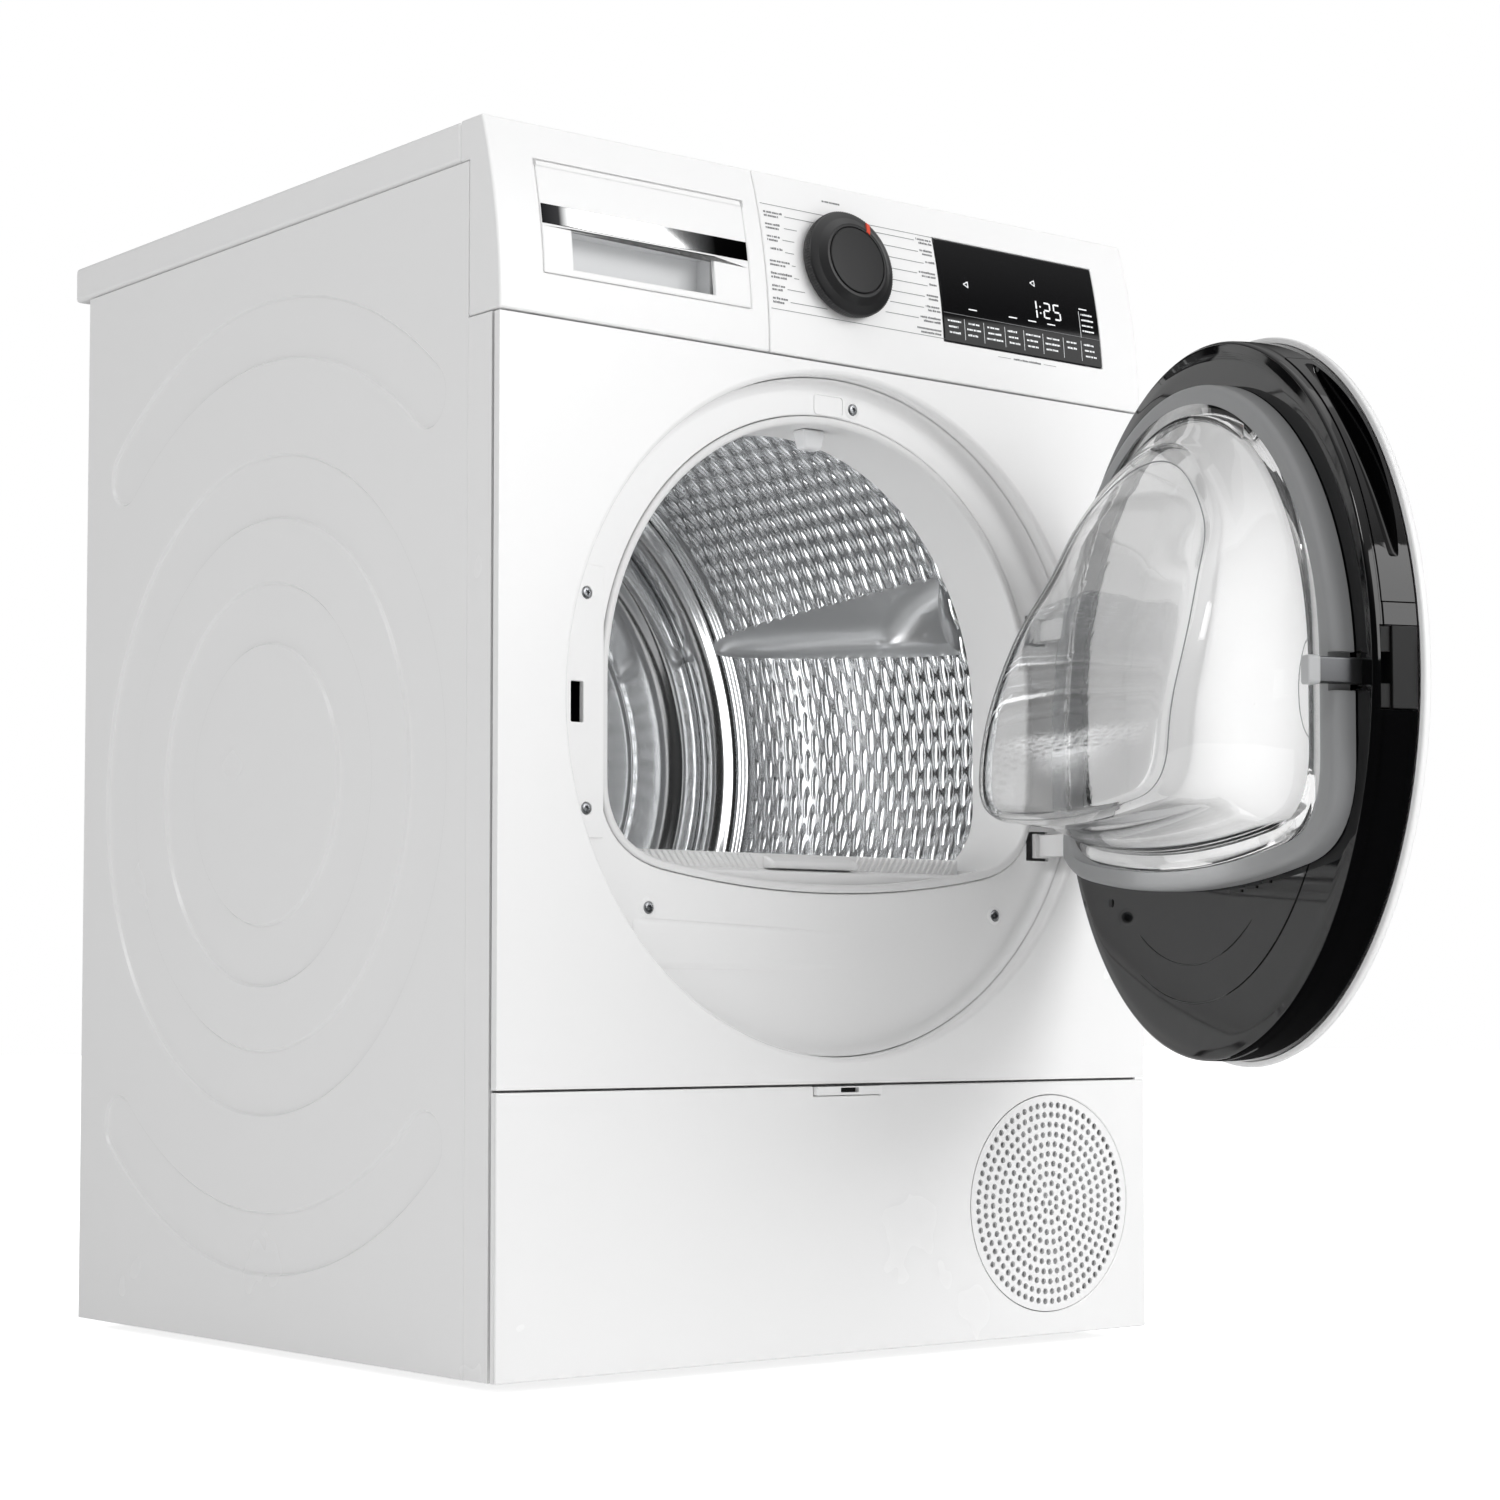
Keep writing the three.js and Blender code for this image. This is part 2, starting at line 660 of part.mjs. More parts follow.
function driveMotor() {
  const { x, z } = motorAt;
  const pivot = tensionPivot;
  const body = rod(46, 76, 132, x, z, 32);
  const base = block(x - 40, pivot.x + 14, 82, 126, 6.4, 62);
  const pin = rod(5, beltY + 7, 90, pivot.x, pivot.z, 16);
  return cut(join(body, base, pin), rod(6.6, 60, 140, x, z, 16));
}

function fanHousing() {
  const { x, z } = motorAt;
  const outer = rod(64, 142, 190, x, z, 20);
  const hollow = rod(60, 145, 187, x, z, 20);
  const intake = rod(32, 186, 191, x, z, 16);
  const shaftHole = rod(9, 141, 146, x, z, 12);
  return cut(outer, hollow, intake, shaftHole, block(x + 30, x + 70, 147, 185, z + 20, z + 70));
}

function tensionArm() {
  const { x, z } = tensionPivot;
  const dx = tensionPulleyAt.x - x;
  const dz = tensionPulleyAt.z - z;
  const reach = Math.hypot(dx, dz);
  const arm = block(0, reach, beltY + 8.4, beltY + 12, -6, 6);
  arm.rotateY(-Math.atan2(dz, dx)).translate(x, 0, z);
  const eye = ring(5.4, 11, beltY + 8.4, beltY + 14, 16, x, z);
  const axle = rod(3, beltY - 7, beltY + 10, tensionPulleyAt.x, tensionPulleyAt.z, 12);
  return join(cut(arm, rod(5.4, beltY, beltY + 20, x, z, 16)), eye, axle);
}

function tensionPulley() {
  return ring(3.4, 17, beltY - 6, beltY + 7.6, 20, tensionPulleyAt.x, tensionPulleyAt.z);
}

function rollerCentre(side) {
  const reach = drumR + 2.4 + rollerR;
  return { x: side * reach * Math.cos(rollerAngle), z: recessZ - reach * Math.sin(rollerAngle) };
}

function supportRoller(side) {
  const { x, z } = rollerCentre(side);
  return ring(4.4, rollerR, -206, -186, 28, x, z);
}

function frontSeal() {
  return ring(drumR - 4.6, drumR - 1.2, -216, tunnelBackY + 12, roundSteps);
}

function rearCrossmember() {
  const beam = block(-282, 282, 226, 229, 402, 498);
  const boss = rod(28, 214, 236, 0, recessZ, 20);
  return cut(join(beam, boss), rod(12.4, 200, 240, 0, recessZ, 36));
}

// ---- heat pump and water ----
function heatExchanger(y0, y1) {
  const body = block(-258, -84, y0, y1, 12, 150);
  const fins = Array.from({ length: 7 }, (_, i) => {
    const x = -246 + i * 24;
    return block(x, x + 12, y0 + 6, y1 - 6, 20, 160);
  });
  return cut(body, ...fins);
}

function compressor() {
  const profile = [[0, 12], [56, 12], [60, 22], [60, 128], [48, 150], [20, 158], [0, 158]];
  const points = profile.map(([r, z]) => new THREE.Vector2(r, z));
  return new THREE.LatheGeometry(points, 24).rotateX(Math.PI / 2).translate(214, 130, 0);
}

function condensatePump() {
  return join(block(36, 86, 190, 250, 6.4, 46), post(14, 40, 70, 61, 220, 20));
}

function condensateHose() {
  const route = [
    [61, 220, 71], [61, 222, 120], [30, 246, 200], [-150, 256, 330], [-262, 250, 520],
    [-262, 244, 700], [-235, 225, 778], [-175, 190, 782], [-175, 150, 782], [-175, 119, 782],
  ];
  const points = route.map((p) => new THREE.Vector3(...p));
  const curve = new THREE.CatmullRomCurve3(points, false, "centripetal");
  const section = new THREE.Shape();
  section.absarc(0, 0, 6, 0, 2 * Math.PI, false);
  return new THREE.ExtrudeGeometry(section, {
    steps: 24,
    extrudePath: curve,
    curveSegments: 4,
    bevelEnabled: false,
  });
}

// ---- lint filter ----
function lintFilter() {
  const top = block(-152, 152, ringY + 9.5, tunnelBackY - 5.5, 328, 341);
  const crest = block(-152, 152, ringY + 30, tunnelBackY - 5.5, 340, 353);
  const slots = Array.from({ length: 6 }, (_, i) =>
    block(-138 + i * 50, -108 + i * 50, ringY + 34, tunnelBackY - 9, 335, 360),
  );
  const bag = block(-104, 104, ringY + 14, tunnelBackY - 14, 205, 332);
  const inside = block(-100, 100, ringY + 17, tunnelBackY - 17, 209, 326);
  const netLeft = block(-92, 92, ringY + 10, tunnelBackY - 10, 216, 318);
  const neck = block(-96, 96, ringY + 18, tunnelBackY - 18, 315, 345);
  const handle = block(-37, 45, ringY + 18, ringY + 31, 340, 350);
  return cut(join(cut(join(top, crest), ...slots), cut(bag, inside, netLeft), handle), neck);
}

function lampLens() {
  return block(-11, 11, ringY + 10, ringY + 26, 645, 659);
}

// ---- assembly ----
add("base_tray", baseTray(), ...castBlack);
const footPlaces = [
  ["front_left", -228, -206],
  ["front_right", 228, -206],
  ["rear_left", -228, 212],
  ["rear_right", 228, 212],
];
for (const [name, x, y] of footPlaces) add(`foot_${name}`, foot(x, y), ...rubber);
add("side_panel_left", sidePanel(-1), ...enamel);
add("side_panel_right", sidePanel(1), ...enamel);
add("front_frame", frontFrame(), ...enamel);
add("front_panel", frontPanel(), ...enamel);
add("door_surround", doorSurround(), ...whitePlastic);
add("latch_plate", latchPlate(), ...whitePlastic);
add("latch_catch", catchBlock(), ...castBlack);
add("front_bulkhead", frontBulkhead(), ...greyPlastic);
add("top_cover", topCover(), ...enamel);
add("rear_panel", rearPanel(), ...zinc);
add("rear_duct_cover", rearDuctCover(), ...zinc);
add("power_inlet", powerInlet(), ...castBlack);
for (const [index, z] of pivotZ.entries()) {
  const place = index === 0 ? "upper" : "lower";
  add(`hinge_bracket_${place}`, hingeBracket(z), ...zinc);
  add(`hinge_arm_${place}`, hingeArm(z), ...zinc, door);
}
add("service_flap", serviceFlap(), ...enamel);
add("intake_grille", intakeGrille(), ...whitePlastic);
add("flap_latch", flapLatch(), ...whitePlastic);
add("fascia_drawer_section", drawerSection(), ...whitePlastic);
add("fascia_control_section", controlSection(), ...whitePlastic);
add("drawer_front", drawerFront(), ...whitePlastic);
add("chrome_strip", chromeStrip(), 0xd9dadb, 0.05, 1);
add("container_tank", containerTank(), ...greyPlastic);
add("display_window", displayWindow(), ...blackPlastic);
add("control_module", controlModule(), ...castBlack);
add("knob", knob(), 0x3a3a3a, 0.45, 0.2, knobGroup);
add("door_cover", doorCover(), ...whitePlastic, door);
add("door_frame", doorFrame(), ...blackPlastic, door);
add("door_handle", doorHandle(), ...blackPlastic, door);
add("door_gasket", doorGasket(), 0x8f8f8f, 0.7, 0, door);
add("door_bowl", doorBowl(), 0xe6e8e8, 0.05, 0, door);
add("latch_hook", latchHook(), ...zinc, door);
add("drum_shell", drumShell(), ...steel);
add("drum_rear_wall", drumRearWall(), ...steel);
for (const index of [0, 1, 2]) add(`lifter_${index + 1}`, lifter(index), 0xb5b5b5, 0.4, 0.3);
add("drum_belt", drumBelt(), ...rubber);
add("motor_rotor", motorRotor(), ...steel);
add("drive_motor", driveMotor(), ...castBlack);
add("fan_housing", fanHousing(), ...greyPlastic);
add("tension_arm", tensionArm(), ...zinc);
add("tension_pulley", tensionPulley(), ...castBlack);
for (const [name, side] of [["left", -1], ["right", 1]]) {
  add(`support_roller_${name}`, supportRoller(side), ...castBlack);
}
add("front_seal", frontSeal(), ...felt);
add("rear_crossmember", rearCrossmember(), ...zinc);
add("evaporator", heatExchanger(-236, -140), ...zinc);
add("condenser", heatExchanger(-128, -24), ...zinc);
add("compressor", compressor(), ...castBlack);
add("condensate_pump", condensatePump(), ...castBlack);
add("condensate_hose", condensateHose(), ...rubber);
add("lint_filter", lintFilter(), ...whitePlastic);
add("lamp_lens", lampLens(), 0xf4f4f4, 0.2, 0);

export default part;
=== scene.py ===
import json
import math

import bmesh
import bpy
from mathutils import Matrix, Vector


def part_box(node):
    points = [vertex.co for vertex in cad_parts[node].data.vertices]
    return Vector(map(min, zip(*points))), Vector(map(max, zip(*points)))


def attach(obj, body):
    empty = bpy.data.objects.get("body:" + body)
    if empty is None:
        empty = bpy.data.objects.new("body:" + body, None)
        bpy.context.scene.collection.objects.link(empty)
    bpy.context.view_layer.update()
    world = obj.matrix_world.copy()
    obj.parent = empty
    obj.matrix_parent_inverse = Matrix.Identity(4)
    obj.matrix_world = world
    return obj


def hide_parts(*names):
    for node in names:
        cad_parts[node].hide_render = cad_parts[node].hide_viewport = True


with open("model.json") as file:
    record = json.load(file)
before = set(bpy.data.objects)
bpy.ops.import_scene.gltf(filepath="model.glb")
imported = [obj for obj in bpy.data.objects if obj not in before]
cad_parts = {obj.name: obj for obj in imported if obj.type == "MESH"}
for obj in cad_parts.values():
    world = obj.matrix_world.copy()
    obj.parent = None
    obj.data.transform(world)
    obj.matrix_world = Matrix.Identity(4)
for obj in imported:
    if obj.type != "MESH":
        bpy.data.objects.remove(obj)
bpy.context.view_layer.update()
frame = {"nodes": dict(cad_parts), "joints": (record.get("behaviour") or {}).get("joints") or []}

mm = 0.001  # the makers below work in millimetres and shrink at the end


def corner(node, high, axis):
    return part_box(node)[1 if high else 0][axis] / mm


# places read from the CAD, in millimetres
place = {
    "sideX": corner("side_panel_right", True, 0),
    "frontY": corner("front_panel", False, 1),
    "ringY": corner("door_surround", False, 1),
    "tunnelBackY": corner("door_surround", True, 1),
    "drumFrontY": corner("drum_shell", False, 1),
    "drumBackY": corner("drum_shell", True, 1),
    "drumR": corner("drum_shell", True, 0) - 2,
    "axisZ": (corner("drum_shell", True, 2) + corner("drum_shell", False, 2)) / 2,
    "topZ": corner("top_cover", True, 2),
    "fasciaLowZ": corner("fascia_control_section", False, 2),
    "flapTopZ": corner("service_flap", True, 2),
    "recessR": 242.3,
    "lean": 21.5,  # how far the top of the control panel leans back
    "leanFromZ": 700.7,  # where it starts to lean, and over what height
    "leanOver": 134.3,
}
doorJoint = next(j for j in frame["joints"] if j["name"] == "door_hinge")
hinge = Vector(doorJoint["pos_m"]) / mm
openTurn = Matrix.Translation(hinge) @ Matrix.Rotation(
    -math.radians(doorJoint["range_deg"][0]), 4, "Z"
) @ Matrix.Translation(-hinge)


def leanAt(z):
    rise = max(0.0, z - place["leanFromZ"]) / place["leanOver"]
    return place["frontY"] + place["lean"] * rise * rise


# ---- nodes and materials


def addNode(tree, kind, inputs=None, **settings):
    made = tree.nodes.new(kind)
    for key, value in settings.items():
        setattr(made, key, value)
    for key, value in (inputs or {}).items():
        if isinstance(value, bpy.types.NodeSocket):
            tree.links.new(value, made.inputs[key])
        else:
            made.inputs[key].default_value = value
    return made


def linear(hexColour):
    def one(pair):
        c = int(pair, 16) / 255
        return c / 12.92 if c <= 0.04045 else ((c + 0.055) / 1.055) ** 2.4

    code = hexColour.lstrip("#")
    return (one(code[0:2]), one(code[2:4]), one(code[4:6]), 1.0)


def finish(
    name, colour, roughness, metallic=0.0, grain=2.0, bump=0.04, drift=0.03, mottle=0.03, cells=False, **sockets
):
    # grain is the size in millimetres of the surface texture; drift is how much the roughness wanders
    made = bpy.data.materials.new(name)
    made.use_nodes = True
    tree = made.node_tree
    tree.nodes.clear()
    where = addNode(tree, "ShaderNodeTexCoord").outputs["Object"]
    kind = "ShaderNodeTexVoronoi" if cells else "ShaderNodeTexNoise"
    fine = addNode(tree, kind, {"Vector": where, "Scale": 1 / (grain * mm)})
    wide = addNode(tree, "ShaderNodeTexNoise", {"Vector": where, "Scale": 9.0, "Detail": 3.0})
    fineValue = fine.outputs["Distance" if cells else 0]
    base = linear(colour)
    dark = tuple(c * (1 - mottle) for c in base[:3]) + (1.0,)
    tint = addNode(tree, "ShaderNodeMix", {"Factor": fineValue if cells else wide.outputs[0]}, data_type="RGBA")
    tint.inputs[6].default_value = dark
    tint.inputs[7].default_value = base
    rough = addNode(
        tree, "ShaderNodeMapRange",
        {"Value": wide.outputs[0], "To Min": max(0.0, roughness - drift), "To Max": roughness + drift}
    )
    relief = addNode(tree, "ShaderNodeBump", {"Height": fineValue, "Strength": bump, "Distance": 0.0004})
    shader = addNode(
        tree, "ShaderNodeBsdfPrincipled",
        {
            "Base Color": tint.outputs[2], "Roughness": rough.outputs[0], "Normal": relief.outputs[0],
            "Metallic": metallic, **sockets
        }
    )
    addNode(tree, "ShaderNodeOutputMaterial", {"Surface": shader.outputs[0]})
    return made


finishes = {
    # stove enamel on pressed steel: bright, a little orange peel in the gloss
    "enamel": finish(
        "enamelledSteel", "#f6f6f6", 0.27, grain=1.6, bump=0.012, drift=0.01, mottle=0.006, IOR=1.52
    ),
    # injection moulded ABS with the fine spark texture of a control panel
    "abs": finish(
        "mouldedWhiteAbs", "#f6f6f6", 0.33, grain=0.5, bump=0.02, drift=0.015, mottle=0.006, IOR=1.54
    ),
    # polypropylene, moulded smooth, its colour painted darker than the white ABS: painted shade for the inside of
    # the tunnel
    "tunnel": finish("mouldedPolypropyleneWithPaintedShade", "#e9e9e9", 0.42, grain=0.8, bump=0.03, mottle=0.01, IOR=1.49),
    # high gloss black ABS, lacquered: nearly a mirror at a glance
    "piano": finish("pianoBlackAbs", "#050506", 0.05, grain=3.0, bump=0.006, drift=0.01, IOR=1.5),
    # nylon moulded black: dull, takes no clear reflection
    "pitch": finish("mouldedBlackNylon", "#101011", 0.46, grain=0.6, bump=0.1),
    # silicone lip seal: soft, matt, faint bloom
    "seal": finish("mouldedSilicone", "#8f9091", 0.5, grain=0.7, bump=0.05, IOR=1.43, **{"Sheen Weight": 0.15}),
    # pressed glass: clear, with slight waves that bend what lies behind
    "bowl": finish(
        "pressedGlass", "#ffffff", 0.015, grain=9.0, bump=0.05, drift=0.01, mottle=0.0, IOR=1.5,
        **{"Transmission Weight": 1.0}
    ),
    # polished sheet: long soft highlights round the drum
    "steel": finish("polishedStainless", "#e2e3e4", 0.13, 1.0, grain=1.0, bump=0.02, drift=0.04),
    # the same sheet embossed: each scale catches its own highlight
    "scaled": finish("embossedStainless", "#e0e1e2", 0.15, 1.0, grain=1.2, bump=0.02, drift=0.04),
    # polyamide with a metallic satin: greyer than the steel about it
    "lifter": finish("satinGreyPolyamide", "#d4d5d6", 0.3, 0.6, grain=0.6, bump=0.03),
    # plated trim: hard edged bright and dark; the dark ends and bright middle are a painted reflection laid into
    # its colour below
    "chrome": finish("chromePlate", "#e6e7e8", 0.04, 1.0, grain=4.0, bump=0.004, drift=0.01),
    # charcoal ABS, satin: a soft rim light on the turned edge
    "knob": finish("satinCharcoalAbs", "#232324", 0.36, grain=0.4, bump=0.05),
    # the knob's cap, a shade duller than its rim
    "knobFace": finish("matteCharcoalAbs", "#1e1e1f", 0.5, grain=0.35, bump=0.08),
    # orange insert: the one strong colour
    "pointer": finish("orangeInsert", "#e9431d", 0.3, grain=0.6, bump=0.02),
    # glass printed black behind: deep, with a clear sheen
    "glassBlack": finish("printedBlackGlass", "#08080a", 0.06, grain=5.0, bump=0.003, drift=0.01, IOR=1.52),
    # grey screen print: flat marks on the white panel
    "print": finish("greyScreenPrint", "#7e7f81", 0.5, grain=0.4, bump=0.03),
    # white print lit faintly from behind
    "lit": finish(
        "whiteScreenPrint", "#e9eaeb", 0.4, grain=0.4, bump=0.02,
        **{"Emission Color": linear("#dfe3e6"), "Emission Strength": 0.35}
    ),
    # zinc plated sheet: grey, with a faint crystal spangle
    "zinc": finish("zincPlatedSheet", "#b5b7ba", 0.34, 1.0, grain=6.0, bump=0.02, mottle=0.12, cells=True),
    # nickelled casting: dark, softly shining
    "hook": finish("nickelledZamak", "#77787a", 0.3, 0.9, grain=0.6, bump=0.04),
    # glass filled nylon: pale and satin
    "hookTip": finish("glassFilledNylon", "#b9babb", 0.35, grain=0.4, bump=0.06),
    # iron painted dark: rough, no clear reflection; the same dark colour is also laid in the drum's air-hole
    # dimples as painted shade
    "darkIronAndHoleShade": finish("paintedCastIronAndHoleShade", "#26272a", 0.55, grain=0.9, bump=0.25),
    # polypropylene moulded grey: plain and satin
    "greyMould": finish("greyPolypropylene", "#c9cacb", 0.4, grain=0.7, bump=0.05),
    # frosted container plastic: pale and milky
    "clearMould": finish("frostedPolypropylene", "#e4e5e6", 0.3, grain=0.7, bump=0.04),
    # pressed wool: matt, with a fibrous edge light
    "felt": finish(
        "pressedWoolFelt", "#8d8b86", 0.95, grain=0.5, bump=0.5, mottle=0.2, **{"Sheen Weight": 0.4}
    ),
    # black rubber: the dullest of the dark pieces
    "rubber": finish("blackRubber", "#1b1b1c", 0.75, grain=0.7, bump=0.12),
    # rolled aluminium: bright with a fine streak
    "fins": finish("rolledAluminiumFins", "#c3c5c8", 0.3, 1.0, grain=1.5, bump=0.15, mottle=0.1),
    # motor steel painted dark grey: satin
    "bronze": finish("paintedMotorSteel", "#3c3f43", 0.5, grain=0.8, bump=0.1),
    # hinge castings: grey powder coat, slightly pebbled
    "casting": finish("powderCoatedZamak", "#e4e4e4", 0.38, grain=0.7, bump=0.06),
}

# light falls through the bowl on to the lining behind it
bowlTree = finishes["bowl"].node_tree
bowlShader = next(n for n in bowlTree.nodes if n.type == "BSDF_PRINCIPLED")
bowlOut = next(n for n in bowlTree.nodes if n.type == "OUTPUT_MATERIAL")
bowlThrough = addNode(bowlTree, "ShaderNodeBsdfTransparent", {"Color": (0.99, 0.99, 0.99, 1)})
bowlMix = addNode(
    bowlTree, "ShaderNodeMixShader",
    {
        0: addNode(bowlTree, "ShaderNodeLightPath").outputs["Is Shadow Ray"], 1: bowlShader.outputs[0],
        2: bowlThrough.outputs[0]
    }
)
bowlTree.links.new(bowlMix.outputs[0], bowlOut.inputs["Surface"])

# painted reflection on the strip: dark studio ends and a bright middle painted into the plating's colour along its
# length, in place of a real reflection
stripTree = finishes["chrome"].node_tree
stripShader = next(n for n in stripTree.nodes if n.type == "BSDF_PRINCIPLED")
stripWhere = addNode(
    stripTree, "ShaderNodeSeparateXYZ", {"Vector": addNode(stripTree, "ShaderNodeTexCoord").outputs["Object"]}
)
stripAlong = addNode(
    stripTree, "ShaderNodeMapRange", {"Value": stripWhere.outputs["X"], "From Min": -0.262, "From Max": -0.087}
)
paintedReflectionRamp = addNode(stripTree, "ShaderNodeValToRGB", {"Fac": stripAlong.outputs[0]})
paintedReflectionStops = [
    (0.0, "#0c0c0d"), (0.08, "#1c1c1d"), (0.2, "#e9eaea"), (0.62, "#f2f2f3"), (0.74, "#a5a6a7"),
    (0.84, "#1a1a1b"), (1.0, "#0b0b0c")
]
while len(paintedReflectionRamp.color_ramp.elements) < len(paintedReflectionStops):
    paintedReflectionRamp.color_ramp.elements.new(0.5)
for element, (at, colour) in zip(paintedReflectionRamp.color_ramp.elements, paintedReflectionStops):
    element.position = at
    element.color = linear(colour)
stripTree.links.new(paintedReflectionRamp.outputs[0], stripShader.inputs["Base Color"])
print("materials made")


# ---- mesh makers, all in millimetres


def keepPiece(name, mesh, coats, body, stands=(), door=False, sharp=35):
    made = bpy.data.objects.new(name, mesh)
    bpy.context.scene.collection.objects.link(made)
    if door:
        mesh.transform(openTurn)
    mesh.transform(Matrix.Scale(mm, 4))
    if len(mesh.materials) == 0:
        for entry in coats if isinstance(coats, (list, tuple)) else [coats]:
            mesh.materials.append(entry)
    mesh.shade_smooth()
    mesh.set_sharp_from_angle(angle=math.radians(sharp))
    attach(made, body)
    if stands:
        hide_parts(*stands)
    return made


def soften(made, width, segments=2, angle=40):
    bevel = made.modifiers.new("soften", "BEVEL")
    bevel.width = width * mm
    bevel.segments = segments
    bevel.limit_method = "ANGLE"
    bevel.angle_limit = math.radians(angle)
    bevel.harden_normals = True
    flat = made.modifiers.new("flat", "WEIGHTED_NORMAL")  # keeps large faces flat beside the rounded edges
    flat.weight = 90
    flat.keep_sharp = True
    return made


def toMesh(bm, name, outward=True):
    bmesh.ops.remove_doubles(bm, verts=bm.verts, dist=1e-4)
    if outward:
        bmesh.ops.recalc_face_normals(bm, faces=bm.faces)
    mesh = bpy.data.meshes.new(name)
    bm.to_mesh(mesh)
    bm.free()
    return mesh


def eased(points, steps=5):
    # rounds the corners of a closed outline given as (a, b, radius)
    out = []
    count = len(points)
    for i, (a, b, r) in enumerate(points):
        here = Vector((a, b))
        if r <= 0:
            out.append((a, b))
            continue
        back = Vector(points[i - 1][:2]) - here
        ahead = Vector(points[(i + 1) % count][:2]) - here
        back.normalize()
        ahead.normalize()
        turn = back.angle(ahead)
        reach = r / math.tan(turn / 2)
        centre = here + (back + ahead).normalized() * (r / math.sin(turn / 2))
        first = here + back * reach - centre
        last = here + ahead * reach - centre
        sweep = first.angle(last)
        for k in range(steps + 1):
            s = k / steps
            p = centre + (first * math.sin((1 - s) * sweep) + last * math.sin(s * sweep)) / math.sin(sweep)
            out.append((p.x, p.y))
    return out


def lofted(bm, rings, loop=False, capFirst=False, capLast=False):
    rows = [[bm.verts.new(p) for p in ring] for ring in rings]
    count = len(rings[0])
    pairs = list(zip(rows, rows[1:]))
    if loop:
        pairs.append((rows[-1], rows[0]))
    for low, high in pairs:
        for i in range(count):
            j = (i + 1) % count
            bm.faces.new((low[i], low[j], high[j], high[i]))
    if capFirst:
        bm.faces.new(rows[0][::-1])
    if capLast:
        bm.faces.new(rows[-1])
    return rows


def circle(r, count, x=0.0, z=None):
    z = place["axisZ"] if z is None else z
    return [
        (
            x + r * math.cos(2 * math.pi * i / count), z + r * math.sin(2 * math.pi * i / count)
        ) for i in range(count)
    ]


def atDepth(points, y):
    return [Vector((x, y, z)) for x, z in points]


def turned(profile, count=128, x=0.0, z=None, loop=True, capFirst=False, capLast=False):
    # a solid of revolution about an axis along Y; the profile is (radius, y)
    bm = bmesh.new()
    lofted(bm, [atDepth(circle(r, count, x, z), y) for r, y in profile], loop, capFirst, capLast)
    return toMesh(bm, "turned")


def mouthOutline(halfSpan, centreZ, lowZ, cornerR, sag):
    # round on top, straight at the sides, rounded corners and a shallow arc below
    cornerX = halfSpan - cornerR
    cornerZ = lowZ + sag + cornerR
    points = [
        (
            halfSpan * math.cos(math.pi * i / 120), centreZ + halfSpan * math.sin(math.pi * i / 120)
        ) for i in range(121)
    ]

    def curve(a, b, c, steps):
        for k in range(1, steps + 1):
            t = k / steps
            points.append(tuple((1 - t) ** 2 * a[n] + 2 * t * (1 - t) * b[n] + t * t * c[n] for n in (0, 1)))

    left = (-halfSpan, cornerZ)
    points.extend((-halfSpan, centreZ + (cornerZ - centreZ) * k / 20) for k in range(1, 21))
    curve(left, (-halfSpan, cornerZ - cornerR * 0.86), (-cornerX, lowZ + sag), 30)
    curve((-cornerX, lowZ + sag), (0, lowZ - sag), (cornerX, lowZ + sag), 60)
    curve((cornerX, lowZ + sag), (halfSpan, cornerZ - cornerR * 0.86), (halfSpan, cornerZ), 30)
    points.extend((halfSpan, cornerZ + (centreZ - cornerZ) * k / 20) for k in range(1, 20))
    return points


def byAngle(outline, count, grow=0.0, centreZ=None):
    # samples an outline at even angles, so that outlines of different shapes can be joined ring to ring
    centreZ = place["axisZ"] if centreZ is None else centreZ
    polar = sorted(
        ((math.atan2(z - centreZ, x) % (2 * math.pi)), math.hypot(x, z - centreZ)) for x, z in outline
    )
    polar = [(polar[-1][0] - 2 * math.pi, polar[-1][1])] + polar + [(polar[0][0] + 2 * math.pi, polar[0][1])]
    points, k = [], 0
    for i in range(count):
        angle = 2 * math.pi * i / count
        while polar[k + 1][0] < angle:
            k += 1
        (a0, r0), (a1, r1) = polar[k], polar[k + 1]
        r = r0 + (r1 - r0) * (angle - a0) / max(a1 - a0, 1e-9)
        points.append((r * math.cos(angle), centreZ + r * math.sin(angle)))
    if not grow:
        return points
    grown = []
    for i, (x, z) in enumerate(points):
        ahead, behind = points[(i + 1) % count], points[i - 1]
        along = Vector((ahead[0] - behind[0], ahead[1] - behind[1])).normalized()
        grown.append((x + along.y * grow, z - along.x * grow))
    return grown


def block(bm, x0, x1, y0, y1, z0, z1):
    made = bmesh.ops.create_cube(bm, size=1.0)["verts"]
    for v in made:
        v.co = Vector(
            (x0 + (v.co.x + 0.5) * (x1 - x0), y0 + (v.co.y + 0.5) * (y1 - y0), z0 + (v.co.z + 0.5) * (z1 - z0))
        )
    return made


def sheetPlate(outer, holes, y0, y1):
    # a flat plate in X and Z with holes; the outline and holes are lists of (x, z)
    bm = bmesh.new()
    edges = []
    for loop in [outer, *holes]:
        verts = [bm.verts.new((x, y0, z)) for x, z in loop]
        edges += [bm.edges.new((verts[i], verts[(i + 1) % len(verts)])) for i in range(len(verts))]
    bmesh.ops.triangle_fill(bm, use_beauty=True, use_dissolve=False, edges=edges)
    made = bmesh.ops.extrude_face_region(bm, geom=list(bm.faces))
    bmesh.ops.translate(
        bm, vec=(0, y1 - y0, 0), verts=[g for g in made["geom"] if isinstance(g, bmesh.types.BMVert)]
    )
    return bm


def roundedBox(x0, x1, z0, z1, r, steps=4):
    return eased([(x0, z0, r), (x1, z0, r), (x1, z1, r), (x0, z1, r)], steps)


